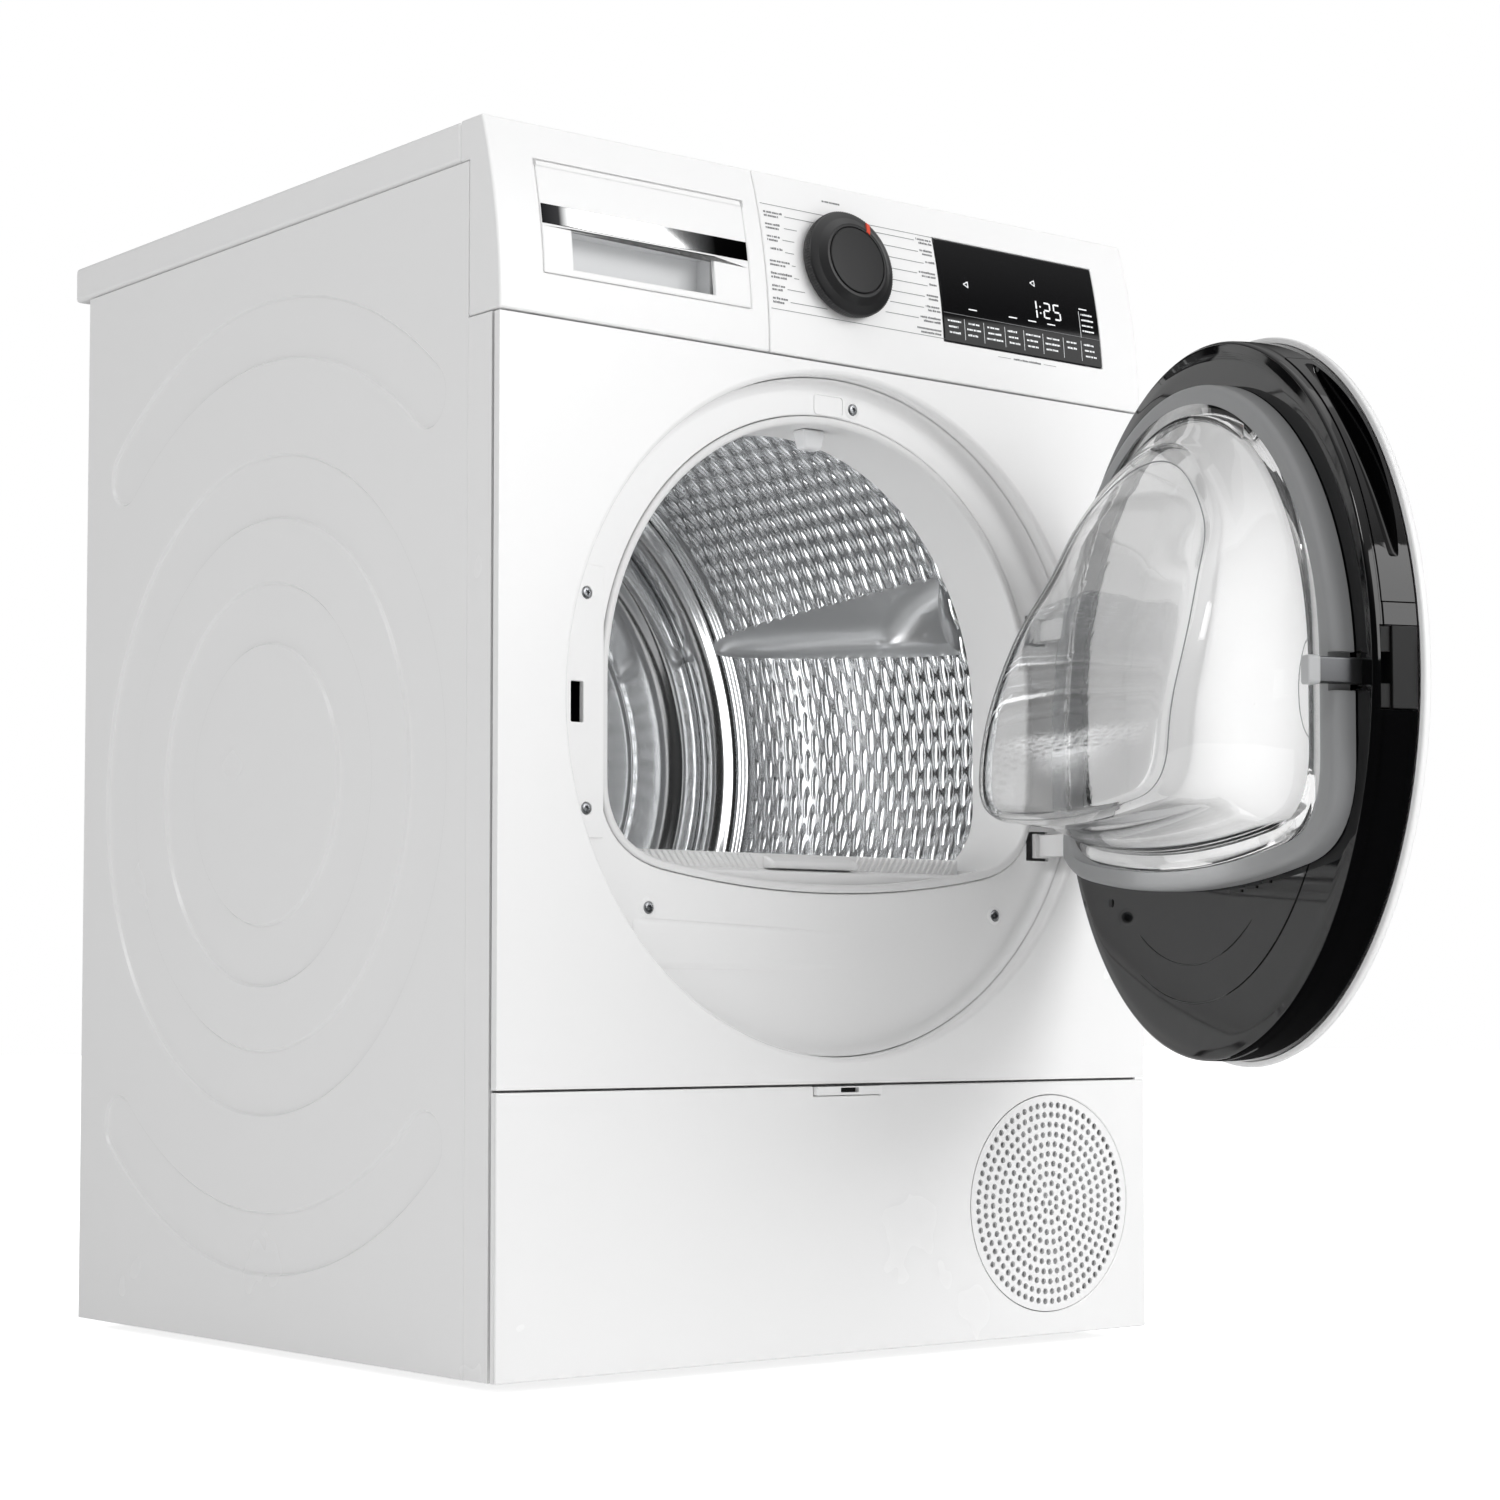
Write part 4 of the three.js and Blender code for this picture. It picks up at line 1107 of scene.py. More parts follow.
def barUnit(length, width, height):
    bm = bmesh.new()
    profile = eased(
        [
            (-width / 2, 0, 0), (width / 2, 0, 0), (width / 2, height, width * 0.4),
            (-width / 2, height, width * 0.4)
        ],
        3
    )
    rings = [[Vector((a, b, c)) for a, b in profile] for c in (-length / 2, length / 2)]
    lofted(bm, rings, capFirst=True, capLast=True)
    return toMesh(bm, "bar")


def lintFilter():
    w = lint["halfWidth"]
    y0, rimY, z0, rimZ = lint["rim"]
    frontY, backY, topZ = lint["crest"]
    section = eased(
        [
            (y0, z0 - 5, 0), (backY, z0 - 5, 0), (backY, topZ, 2.0), (frontY, topZ, 3.0),
            (frontY - 1, rimZ + 1, 0), (rimY - 4, rimZ, 1), (y0, rimZ - 2, 2.0)
        ],
        3
    )
    bm = bmesh.new()
    lofted(bm, [[Vector((x, a, b)) for a, b in section] for x in (-w, w)], capFirst=True, capLast=True)
    block(bm, -104, 104, -264, -236, 206, z0 - 5.2)
    keepPiece(
        "filterBody", toMesh(bm, "filter"), finishes["abs"], "lint_filter", ["lint_filter"],
    )
    unit = barUnit(13.5, 2.3, 2.2)
    unit.transform(Matrix.Rotation(math.pi, 4, "Z"))
    middle = (rimZ + topZ) / 2
    ribs = ribTree()
    for name, first, count, slant in (
        ("filterRibsLeft", -145.0, 19, -0.62), ("filterRibsRight", 51.0, 18, 0.62)
    ):
        values = {
            "Count": count, "Step": (lint["rib"], 0, 0), "First": (first, frontY + 0.4, middle),
            "Turn": (0, slant, 0), "Dress": finishes["abs"]
        }
        mesh = grown(ribs, unit.copy(), values)
        keepPiece(name, mesh, finishes["abs"], "lint_filter")
    x0, x1 = lint["handle"]
    section = eased(
        [
            (frontY + 1, rimZ + 1, 0), (frontY + 1, topZ - 2, 0), (frontY - 5, topZ - 2.4, 3),
            (frontY - 12.5, rimZ + 5.4, 3), (frontY - 11, rimZ + 1, 0)
        ],
        4
    )
    bm = bmesh.new()
    lofted(
        bm, [[Vector((x, a, b)) for a, b in section] for x in (x0 + 0.5, x1 - 0.5)], capFirst=True, capLast=True
    )
    made = keepPiece("filterHandle", toMesh(bm, "handle"), finishes["abs"], "lint_filter")
    soften(made, 1.6, 3, 50)


lintFilter()
print("lint filter made")


# ---- service flap and grille

flap = {
    "thick": 2.4, "grilleX": 198.6, "grilleZ": 98.0, "grilleR": 80.0, "pitch": 7.25, "rings": 11, "holeR": 2.35
}


def serviceFlap():
    low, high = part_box("service_flap")
    x0, x1, y0, z0, z1 = low.x / mm, high.x / mm, low.y / mm, low.z / mm, high.z / mm
    bm = bmesh.new()
    block(bm, x0, x1, y0, y0 + flap["thick"], z0, z1)
    disc = bmesh.new()
    lofted(
        disc, [atDepth(circle(80.3, 128, flap["grilleX"], flap["grilleZ"]), y) for y in (y0 - 5, y0 + 12)],
        capFirst=True, capLast=True
    )
    bmesh.ops.recalc_face_normals(disc, faces=disc.faces)
    mesh = carved(toMesh(bm, "flap"), [disc, (-31, 31, y0 - 5, y0 + 12, z1 - 7, z1 + 5)], "flap")
    made = keepPiece("serviceFlap", mesh, finishes["enamel"], "service_flap", ["service_flap"])
    soften(made, 1.1, 3, 50)
    bm = bmesh.new()
    for sign in (-1, 1):
        edge = x0 if sign < 0 else x1
        block(bm, *sorted((edge, edge - sign * 2)), y0 + flap["thick"] - 0.02, y0 + 6.2, z0, z1)
    block(bm, x0 + 28, x1 - 28, y0 + flap["thick"] - 0.02, y0 + 6.2, z0, z0 + 6)
    made = keepPiece("flapHems", toMesh(bm, "hems"), finishes["enamel"], "service_flap")
    soften(made, 0.4, 2, 50)


def grilleTree():
    # a disc with rings of round holes, filled from curves and given a thickness
    tree, start, out = newTree(
        "perforatedDisc",
        [
            ("Radius", "Float", 80.0), ("Hole", "Float", 2.3), ("Thick", "Float", 2.4),
            ("Dress", "Material", None)
        ]
    )
    rim = addNode(
        tree, "GeometryNodeCurvePrimitiveCircle", {"Resolution": 128, "Radius": start.outputs["Radius"]},
        mode="RADIUS"
    )
    hole = addNode(
        tree, "GeometryNodeCurvePrimitiveCircle", {"Resolution": 12, "Radius": start.outputs["Hole"]},
        mode="RADIUS"
    )
    holes = addNode(
        tree, "GeometryNodeInstanceOnPoints", {"Points": start.outputs["Geometry"], "Instance": hole.outputs[0]}
    )
    real = addNode(tree, "GeometryNodeRealizeInstances", {"Geometry": holes.outputs[0]})
    both = addNode(tree, "GeometryNodeJoinGeometry")
    tree.links.new(rim.outputs[0], both.inputs[0])
    tree.links.new(real.outputs[0], both.inputs[0])
    filled = addNode(tree, "GeometryNodeFillCurve", {"Curve": both.outputs[0]})
    thick = addNode(
        tree, "GeometryNodeExtrudeMesh",
        {"Mesh": filled.outputs[0], "Offset Scale": start.outputs["Thick"], "Individual": False}
    )
    back = addNode(tree, "GeometryNodeFlipFaces", {"Mesh": filled.outputs[0]})
    whole = addNode(tree, "GeometryNodeJoinGeometry")
    tree.links.new(thick.outputs[0], whole.inputs[0])
    tree.links.new(back.outputs[0], whole.inputs[0])
    merged = addNode(tree, "GeometryNodeMergeByDistance", {"Geometry": whole.outputs[0], "Distance": 0.001})
    endTree(tree, out, merged.outputs[0], start.outputs["Dress"])
    return tree


def intakeGrille():
    points = [(0.0, 0.0, 0.0)]
    for ring in range(1, flap["rings"]):
        r = ring * flap["pitch"]
        count = int(round(2 * math.pi * r / 7.0))
        points += [
            (
                r * math.cos(2 * math.pi * (i + 0.5 * (ring % 2)) / count),
                r * math.sin(2 * math.pi * (i + 0.5 * (ring % 2)) / count), 0.0
            ) for i in range(count)
        ]
    host = bpy.data.meshes.new("holes")
    host.from_pydata(points, [], [])
    mesh = grown(
        grilleTree(), host,
        {
            "Radius": flap["grilleR"] - 0.3, "Hole": flap["holeR"], "Thick": flap["thick"] - 0.4,
            "Dress": finishes["abs"]
        }
    )
    mesh.transform(
        Matrix.Translation(
            (flap["grilleX"], place["frontY"] + flap["thick"] - 0.2, flap["grilleZ"])
        ) @ Matrix.Rotation(math.pi / 2, 4, "X")
    )
    keepPiece("intakeGrille", mesh, finishes["abs"], "service_flap", ["intake_grille"])
    print("grille", len(points), "holes,", len(mesh.polygons), "faces")
    bm = bmesh.new()
    lofted(
        bm,
        [
            atDepth(circle(r, 96, flap["grilleX"], flap["grilleZ"]), y) for r,
            y in ((79, place["frontY"] + 6.0), (79, place["frontY"] + 6.8))
        ],
        capFirst=True, capLast=True
    )
    keepPiece("grilleScreen", toMesh(bm, "screen"), finishes["greyMould"], "service_flap")


def flapLatch():
    y, top = place["frontY"], place["flapTopZ"]
    bm = sheetPlate(
        roundedBox(-30.2, 30.2, top - 6.4, top - 0.4, 0.8), [roundedBox(-8.4, 8.4, top - 4.6, top - 1.2, 0.6)],
        y - 3.0, y + 2.2
    )
    block(bm, -9, 9, y + 1.2, y + 2.6, top - 5, top - 0.8)
    made = keepPiece(
        "flapLatch", toMesh(bm, "latch"), finishes["abs"], "flap_latch", ["flap_latch"]
    )
    soften(made, 0.5, 2, 50)
    bm = bmesh.new()
    block(bm, -7.9, 7.9, y + 0.4, y + 1.3, top - 4.4, top - 1.4)
    keepPiece("flapLatchSlot", toMesh(bm, "slot"), finishes["pitch"], "flap_latch")


serviceFlap()
intakeGrille()
flapLatch()
print("service flap made")


# ---- control panel

panel = {
    "drawer": (-262.3, -85.9, 730.3, 808.9),
    "strip": (-261.8, -86.6, 764.2, 777.8),
    "grip": (-238.0, -117.2, 735.2, 762.2),
    "display": (96.8, 259.6, 731.8, 810.2),
    "keyLine": 753.5,
    "knob": (3.0, 772.7),
}


def slab(name, x0, x1, z0, z1, faceOff, back, steps=22):
    # a bar with the leaning front, closed at the ends
    zs = [z0 + (z1 - z0) * k / steps for k in range(steps + 1)]
    section = [(leanAt(z) + faceOff, z) for z in zs] + [(leanAt(z) + back, z) for z in zs[::-1]]
    bm = bmesh.new()
    lofted(bm, [[Vector((x, y, z)) for y, z in section] for x in (x0, x1)], capFirst=True, capLast=True)
    return toMesh(bm, name)


def fasciaBody(name, node, x0, x1, holes):
    low, top, back = place["fasciaLowZ"], place["topZ"], corner("top_cover", False, 1) - 0.5
    steps = 26
    zs = [low + (top - low) * k / steps for k in range(steps + 1)]
    section = [(leanAt(z), z) for z in zs] + [(back, top), (back, 807), (-263.4, 807), (-263.4, low)]
    bm = bmesh.new()
    lofted(bm, [[Vector((x, y, z)) for y, z in section] for x in (x0, x1)], capFirst=True, capLast=True)
    mesh = carved(toMesh(bm, name), holes, name)
    made = keepPiece(name, mesh, finishes["abs"], "cabinet", [node])
    soften(made, 1.5, 3, 45)


def controlPanel():
    x = place["sideX"]
    fasciaBody("fasciaLeft", "fascia_drawer_section", -x, -70.2, [(-262.6, -85.6, -320, -268, 730, 809.2)])
    fasciaBody("fasciaRight", "fascia_control_section", -69.8, x, [(96.2, 260.2, -320, -272, 731.2, 810.8)])
    d = panel["drawer"]
    mesh = slab("drawer", *d, 0, 4)
    g, s = panel["grip"], panel["strip"]
    mesh = carved(mesh, [(g[0], g[1], -320, -270, g[2], g[3])], "drawer")
    made = keepPiece("drawerFront", mesh, finishes["abs"], "drawer", ["drawer_front"])
    soften(made, 0.9, 3, 45)
    # the strip's colour carries the painted reflection: dark ends and a bright middle
    made = keepPiece(
        "chromeStrip", slab("strip", *s, -0.5, 0.6, 6), finishes["chrome"], "drawer", ["chrome_strip"],
    )
    soften(made, 0.35, 2, 45)
    made = keepPiece(
        "displayGlass", slab("display", *panel["display"], -0.1, 2.4, 20), finishes["glassBlack"], "cabinet",
        ["display_window"]
    )
    soften(made, 0.5, 2, 45)


def print2d(name, marks, material, lift=-0.06, body="cabinet"):
    # thin printed marks on the leaning front; each is a list of (x, z) corners
    bm = bmesh.new()
    for mark in marks:
        face = bm.faces.new([bm.verts.new((x, place["frontY"] - 0.12, z)) for x, z in mark])
        made = bmesh.ops.extrude_face_region(bm, geom=[face])
        bmesh.ops.translate(
            bm, vec=(0, 0.1, 0), verts=[g for g in made["geom"] if isinstance(g, bmesh.types.BMVert)]
        )
    bmesh.ops.recalc_face_normals(bm, faces=bm.faces)
    onLean(bm, 720, 835, 30, lift)
    return keepPiece(name, toMesh(bm, name, outward=False), material, body)


def bar(x0, x1, z0, z1):
    return [(x0, z0), (x1, z0), (x1, z1), (x0, z1)]


def stroke(a, b, width):
    along = Vector((b[0] - a[0], b[1] - a[1])).normalized() * width / 2
    return [
        (a[0] - along.y, a[1] + along.x), (a[0] + along.y, a[1] - along.x), (b[0] + along.y, b[1] - along.x),
        (b[0] - along.y, b[1] + along.x)
    ]


def lineOfDashes(x0, x1, z, height, seed):
    # stands for a line of small print: short dashes of uneven length
    marks, x, k = [], x0, seed
    while x < x1 - 1:
        k = (k * 37 + 11) % 101
        length = min(0.55 + (k % 4) * 0.4, x1 - x)
        tall = height * (1.25 if k % 6 == 0 else 1.0)
        marks.append(bar(x, x + length, z, z + tall))
        x += length + (0.38 if k % 5 else 0.9)
    return marks


def digit(shape, x, z, w, h):
    # seven-bar figure
    t = w * 0.17
    bars = {
        "a": bar(x + t, x + w - t, z + h - t, z + h),
        "b": bar(x + w - t, x + w, z + h / 2 + t / 2, z + h - t / 2),
        "c": bar(x + w - t, x + w, z + t / 2, z + h / 2 - t / 2),
        "d": bar(x + t, x + w - t, z, z + t),
        "e": bar(x, x + t, z + t / 2, z + h / 2 - t / 2),
        "f": bar(x, x + t, z + h / 2 + t / 2, z + h - t / 2),
        "g": bar(x + t, x + w - t, z + h / 2 - t / 2, z + h / 2 + t / 2),
    }
    return [bars[s] for s in shape]


def printedMarks():
    kx, kz = panel["knob"]
    marks = []
    for k in range(8):
        z = 803.5 - k * 9.1
        reach = 14 if k in (0, 7) else 0
        inner = kx - math.sqrt(max(0, 44**2 - (z - kz) ** 2)) - 2
        label = -66.0 if k != 3 else -64.0
        width = (17, 15, 12, 11, 18, 19, 12, 14)[k]
        marks += lineOfDashes(label, label + width, z + 0.3, 1.3, 5 + k)
        if k not in (3,):
            marks += lineOfDashes(label, label + width * 0.8, z - 2.5, 1.3, 25 + k)
        marks.append(stroke((label + width + 2, z - 0.4), (min(inner, -30.0) + reach, z - 0.4), 0.45))
    for k in range(9):
        z = 806.0 - k * 8.6
        outer = kx + math.sqrt(max(0, 44**2 - (z - kz) ** 2)) + 2
        width = (15, 13, 9, 17, 8, 12, 14, 20, 24)[k]
        label = 94.0 - width
        marks += lineOfDashes(label, label + width, z + 0.3, 1.3, 45 + k)
        if k not in (2, 4):
            marks += lineOfDashes(label + width * 0.15, label + width, z - 2.5, 1.3, 65 + k)
        if k != 8:
            marks.append(
                stroke((max(outer, 42.0 - (6 if k in (0, 7) else 0)), z - 0.4), (label - 2, z - 0.4), 0.45)
            )
    marks += lineOfDashes(-8, 10, 821.0, 1.3, 88)
    marks += lineOfDashes(166, 194, 726.0, 1.2, 90)
    marks.append(stroke((150, 726.6), (163, 726.6), 0.3))
    marks.append(stroke((197, 726.6), (210, 726.6), 0.3))
    marks.append(stroke((-68, 810.4), (97, 810.4), 0.4))
    marks.append(stroke((-68, 733.0), (97, 733.0), 0.4))
    print2d("printedMarks", marks, finishes["print"])

    lit = []
    lowZ, keyZ = panel["display"][2], panel["keyLine"]
    keys = [98.5, 117.5, 137, 158.5, 178, 198, 219.5, 238.5, 258]
    for i in range(8):
        a, b = keys[i] + 2.4, keys[i + 1] - 2.4
        for line in range(3 if i not in (6,) else 2):
            inset = (i * 7 + line * 5) % 4
            lit += lineOfDashes(
                a + inset * 0.6, b - ((i + line * 3) % 4) * 1.1, keyZ - 6.4 - line * 4.4, 1.25,
                100 + i * 3 + line
            )
        if i:
            lit.append(bar(keys[i] - 0.15, keys[i] + 0.15, lowZ + 3, keyZ - 3))
    for x in (123, 164, 184, 204, 240):
        z = keyZ + (5 if x < 240 else 22)
        lit.append(bar(x, x + 8.4, z, z + 0.9))
    for line in range(4):
        lit += lineOfDashes(241.5, 254, 771 - line * 4.3, 1.2, 140 + line)
    lit.append(bar(239.2, 239.5, 753, 774))
    base = 763.0
    lit += [
        bar(193.6, 195.0, base + 6.6, base + 12.6), bar(197.8, 199.0, base + 3, base + 4.4),
        bar(197.8, 199.0, base + 8, base + 9.4), bar(193.6, 195.0, base - 0.4, base + 5.6)
    ]
    lit += digit("abged", 201.5, base, 7.6, 12.8)
    lit += digit("afgcd", 212.0, base, 7.6, 12.8)
    for x, z in ((120.5, 778.0), (191.0, 789.5)):
        lit += [
            stroke((x, z), (x + 4.4, z + 2.2), 0.7), stroke((x + 4.4, z + 2.4), (x + 4.4, z - 2.4), 0.7),
            stroke((x, z), (x + 4.4, z - 2.2), 0.7)
        ]
    print2d("litMarks", lit, finishes["lit"], lift=-0.16)
    print2d(
        "keyDivide", [bar(97.6, 258.8, keyZ - 0.2, keyZ + 0.2)], finishes["print"], lift=-0.16,
    )


def selectorKnob():
    # turned about its own axis, then leant back with the panel
    kx, kz = panel["knob"]
    tilt = math.atan(2 * place["lean"] * (kz - 700.7) / 134.3**2)
    lay = Matrix.Translation((kx, leanAt(kz), kz)) @ Matrix.Rotation(-tilt, 4, "X")
    skirt = eased(
        [
            (4, 2, 0), (4, -1.2, 0), (38.2, -1.2, 0.4), (39.2, -4.4, 0.8), (38.9, -9.4, 2.0),
            (33.0, -12.2, 5.0), (27.6, -15.8, 1.6), (25.4, -16.0, 0.7), (24.9, -14.6, 0), (3, -14.6, 0),
            (3, 2, 0)
        ],
        4
    )
    mesh = turned(skirt, 128, 0, 0)
    mesh.transform(lay)
    keepPiece("knobSkirt", mesh, finishes["knob"], "knob", ["knob"])
    face = eased([(0.02, -13.6, 0), (24.6, -13.6, 0), (24.6, -16.2, 0.9), (0.02, -15.9, 0)], 4)
    mesh = turned(face, 96, 0, 0)
    mesh.transform(lay)
    keepPiece("knobFace", mesh, finishes["knobFace"], "knob")
    bm = bmesh.new()
    inner, outer = (25.9, -16.25), (37.2, -10.85)
    cross = Vector((math.cos(math.radians(60)), math.sin(math.radians(60))))
    wide = Vector((-cross.y, cross.x)) * 1.7
    lows, highs = [], []
    for r, y in (inner, ((inner[0] + outer[0]) / 2, -13.9), outer):
        for sgn in (-1, 1):
            p = cross * r + wide * sgn
            lows.append(bm.verts.new((p.x, y - 0.35, p.y)))
            highs.append(bm.verts.new((p.x, y + 0.9, p.y)))
    for k in (0, 2):
        bm.faces.new((lows[k], lows[k + 1], lows[k + 3], lows[k + 2]))
        bm.faces.new((highs[k], highs[k + 2], highs[k + 3], highs[k + 1]))
        for a, b in ((k, k + 2), (k + 1, k + 3)):
            bm.faces.new((lows[a], lows[b], highs[b], highs[a]))
    bm.faces.new((lows[0], highs[0], highs[1], lows[1]))
    bm.faces.new((lows[4], lows[5], highs[5], highs[4]))
    mesh = toMesh(bm, "pointer")
    mesh.transform(lay)
    keepPiece("knobPointer", mesh, finishes["pointer"], "knob")
    # fine grip flutes round the skirt
    unit = barUnit(4.2, 0.9, 0.5)
    unit.transform(Matrix.Rotation(math.pi / 2, 4, "X"))
    host = bpy.data.meshes.new("flutes")
    host.from_pydata([(0, 0, 0)], [], [])
    ring = fluteTree()
    mesh = grown(ring, unit, {"Radius": 38.9, "Count": 120, "Depth": -6.6, "Dress": finishes["knob"]})
    mesh.transform(lay)
    keepPiece("knobFlutes", mesh, finishes["knob"], "knob")


def fluteTree():
    # bars stood round a circle about Y
    tree, start, out = newTree(
        "flutesRound",
        [("Radius", "Float", 38.0), ("Count", "Int", 90), ("Depth", "Float", 0.0), ("Dress", "Material", None)]
    )
    line = addNode(tree, "GeometryNodeMeshLine", {"Count": start.outputs["Count"]})
    index = addNode(tree, "GeometryNodeInputIndex").outputs[0]
    angle = sum2(tree, "MULTIPLY", sum2(tree, "DIVIDE", index, start.outputs["Count"]), 2 * math.pi)
    x = sum2(tree, "MULTIPLY", start.outputs["Radius"], sum2(tree, "COSINE", angle, 0.0))
    z = sum2(tree, "MULTIPLY", start.outputs["Radius"], sum2(tree, "SINE", angle, 0.0))
    spot = addNode(tree, "ShaderNodeCombineXYZ", {"X": x, "Y": start.outputs["Depth"], "Z": z})
    turn = addNode(tree, "ShaderNodeCombineXYZ", {"Y": sum2(tree, "SUBTRACT", math.pi / 2, angle)})
    moved = addNode(tree, "GeometryNodeSetPosition", {"Geometry": line.outputs[0], "Position": spot.outputs[0]})
    put = addNode(
        tree, "GeometryNodeInstanceOnPoints",
        {"Points": moved.outputs[0], "Instance": start.outputs["Geometry"], "Rotation": turn.outputs[0]}
    )
    endTree(tree, out, put.outputs[0], start.outputs["Dress"])
    return tree


controlPanel()
printedMarks()
selectorKnob()
print("control panel made")


# ---- top cover and back

cover = {"edge": 3.0, "louvres": 9}


def topCover():
    low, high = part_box("top_cover")
    bm = bmesh.new()
    block(bm, low.x / mm, high.x / mm, low.y / mm, high.y / mm, low.z / mm, high.z / mm)
    made = keepPiece(
        "topCover", toMesh(bm, "cover"), finishes["enamel"], "cabinet", ["top_cover"]
    )
    soften(made, cover["edge"], 4, 40)


def ductCover():
    low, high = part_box("rear_duct_cover")
    y0, y1, r = low.y / mm, high.y / mm, high.x / mm
    loop = eased(
        [
            (0.5, y1, 0), (r - 46, y1, 12), (r - 20, y0 + 1.8, 8), (r, y0 + 1.8, 0.6), (r, y0, 0),
            (r - 21, y0, 6), (r - 47, y1 - 1.6, 11), (0.5, y1 - 1.6, 0)
        ],
        6
    )
    keepPiece(
        "rearDuctCover", turned(loop, 128), finishes["zinc"], "cabinet", ["rear_duct_cover"],
        sharp=40
    )
    points = [
        (
            238 * math.cos(2 * math.pi * k / 12), y0 + 1.9,
            place["axisZ"] + 238 * math.sin(2 * math.pi * k / 12)
        ) for k in range(12)
    ]
    edge = corner("rear_panel", True, 1)
    for z in (30, 250, 640, 790):
        points += [(s * 270, edge, z) for s in (-1, 1)]
    points += [(x, edge, z) for x in (-90, 90) for z in (14, 794)]
    mesh = spread(points, screwUnit(), (0, 0, math.pi), 1.0, finishes["zinc"])
    keepPiece("rearScrews", mesh, finishes["zinc"], "cabinet")
    # cooling louvres low on the back
    unit = bpy.data.meshes.new("louvre")
    bm = bmesh.new()
    section = eased([(0, -5, 0), (4.6, -3.2, 1.2), (1.0, 3.0, 1.0), (0, 3.2, 0)], 3)
    lofted(bm, [[Vector((x, a, b)) for a, b in section] for x in (-42, 42)], capFirst=True, capLast=True)
    bmesh.ops.recalc_face_normals(bm, faces=bm.faces)
    bm.to_mesh(unit)
    bm.free()
    for name, x in (("louvresLeft", -190), ("louvresRight", 190)):
        mesh = grown(
            ribTree(), unit.copy(),
            {
                "Count": cover["louvres"], "Step": (0, 0, 13), "First": (x, edge - 0.1, 40), "Turn": (0, 0, 0),
                "Dress": finishes["zinc"]
            }
        )
        keepPiece(name, mesh, finishes["zinc"], "cabinet")


topCover()
ductCover()
print("cover and back made")


# ---- door, drawn closed and swung open as it is kept

doorShape = {
    "coverR": 248.0,
    "bandR": 243.2,
    "gasket": (222.0, 441.0, 322.0, 62.0, 12.0),
    "gasketHole": (198.5, 456.0, 334.0, 54.0, 11.0),
    "bowl": (187.4, 456.0, 346.6, 49.0, 9.0),
    "frameHole": (197.5, 456.0, 334.6, 54.0, 11.0),
    "steps": 192,
}


def doorRing(shape, grow, y):
    return atDepth(byAngle(mouthOutline(*doorShape[shape]), doorShape["steps"], grow), y)


def sector(fromDeg, toDeg, r0, r1, y0, y1, steps=24):
    # a curved block on the free side of the door, angles counted up from the horizontal
    bm = bmesh.new()
    rings = []
    for k in range(steps + 1):
        a = math.radians(180 - (fromDeg + (toDeg - fromDeg) * k / steps))
        rings.append(
            [
                Vector((r * math.cos(a), y, place["axisZ"] + r * math.sin(a))) for r,
                y in ((r0, y0), (r1, y0), (r1, y1), (r0, y1))
            ]
        )
    lofted(bm, rings, capFirst=True, capLast=True)
    bmesh.ops.recalc_face_normals(bm, faces=bm.faces)
    return bm


def doorCover():
    r = doorShape["coverR"]
    loop = eased(
        [
            (0.5, -344.0, 0), (120, -343.6, 60), (205, -341.6, 40), (r - 2.5, -337.6, 3.4), (r, -332.0, 1.6),
            (r - 4.6, -330.9, 0.5), (r - 6, -334.6, 2), (200, -338.6, 0), (0.5, -341.2, 0)
        ],
        6
    )
    keepPiece(
        "doorCover", turned(loop, 192), finishes["abs"], "door", ["door_cover"], door=True,
        sharp=40
    )


def doorFrame():
    r = doorShape["bandR"]
    count = doorShape["steps"]
    profile = [
        ("circle", r - 3, -330.4), ("circle", r, -330.0), ("circle", r, -307.6), ("circle", r - 0.9, -306.9),
        ("circle", r - 0.9, -305.9), ("circle", r - 0.1, -305.2)
    ]
    profile += [
        (
            "circle", r - 3.2 + 3.0 * math.cos(a), -302.4 + 3.0 * math.sin(a)
        ) for a in [math.pi / 2 * k / 6 for k in range(7)]
    ]
    profile += [("circle", r - 7.5, -299.0), ("circle", r - 12, -298.4), ("circle", r - 15, -298.9)]
    profile += [
        ("mouth", 1.0, -298.9), ("mouth", 0.0, -299.6), ("mouth", 0.0, -303.4), ("mouth", 2.0, -304.4),
        ("circle", r - 9, -304.4), ("circle", r - 3, -312)
    ]
    rings = [
        atDepth(circle(a, count), y) if kind == "circle" else doorRing("frameHole", a, y) for kind, a,
        y in profile
    ]
    bm = bmesh.new()
    lofted(bm, rings, loop=True)
    cutters = [(204, 262, -345, -270, z - 13.5, z + 13.5) for z in (527, 364)]
    cutters += [
        sector(9.4, 61.9, 150, 262, -345, -306.8), (-250, -214, -345, -304.2, 424, 476),
        (-229, -212, -319, -290, 438, 461)
    ]
    mesh = carved(toMesh(bm, "frame"), cutters, "frame")
    made = keepPiece(
        "doorFrame", mesh, finishes["piano"], "door", ["door_frame"], door=True, sharp=30
    )
    soften(made, 0.5, 2, 50)


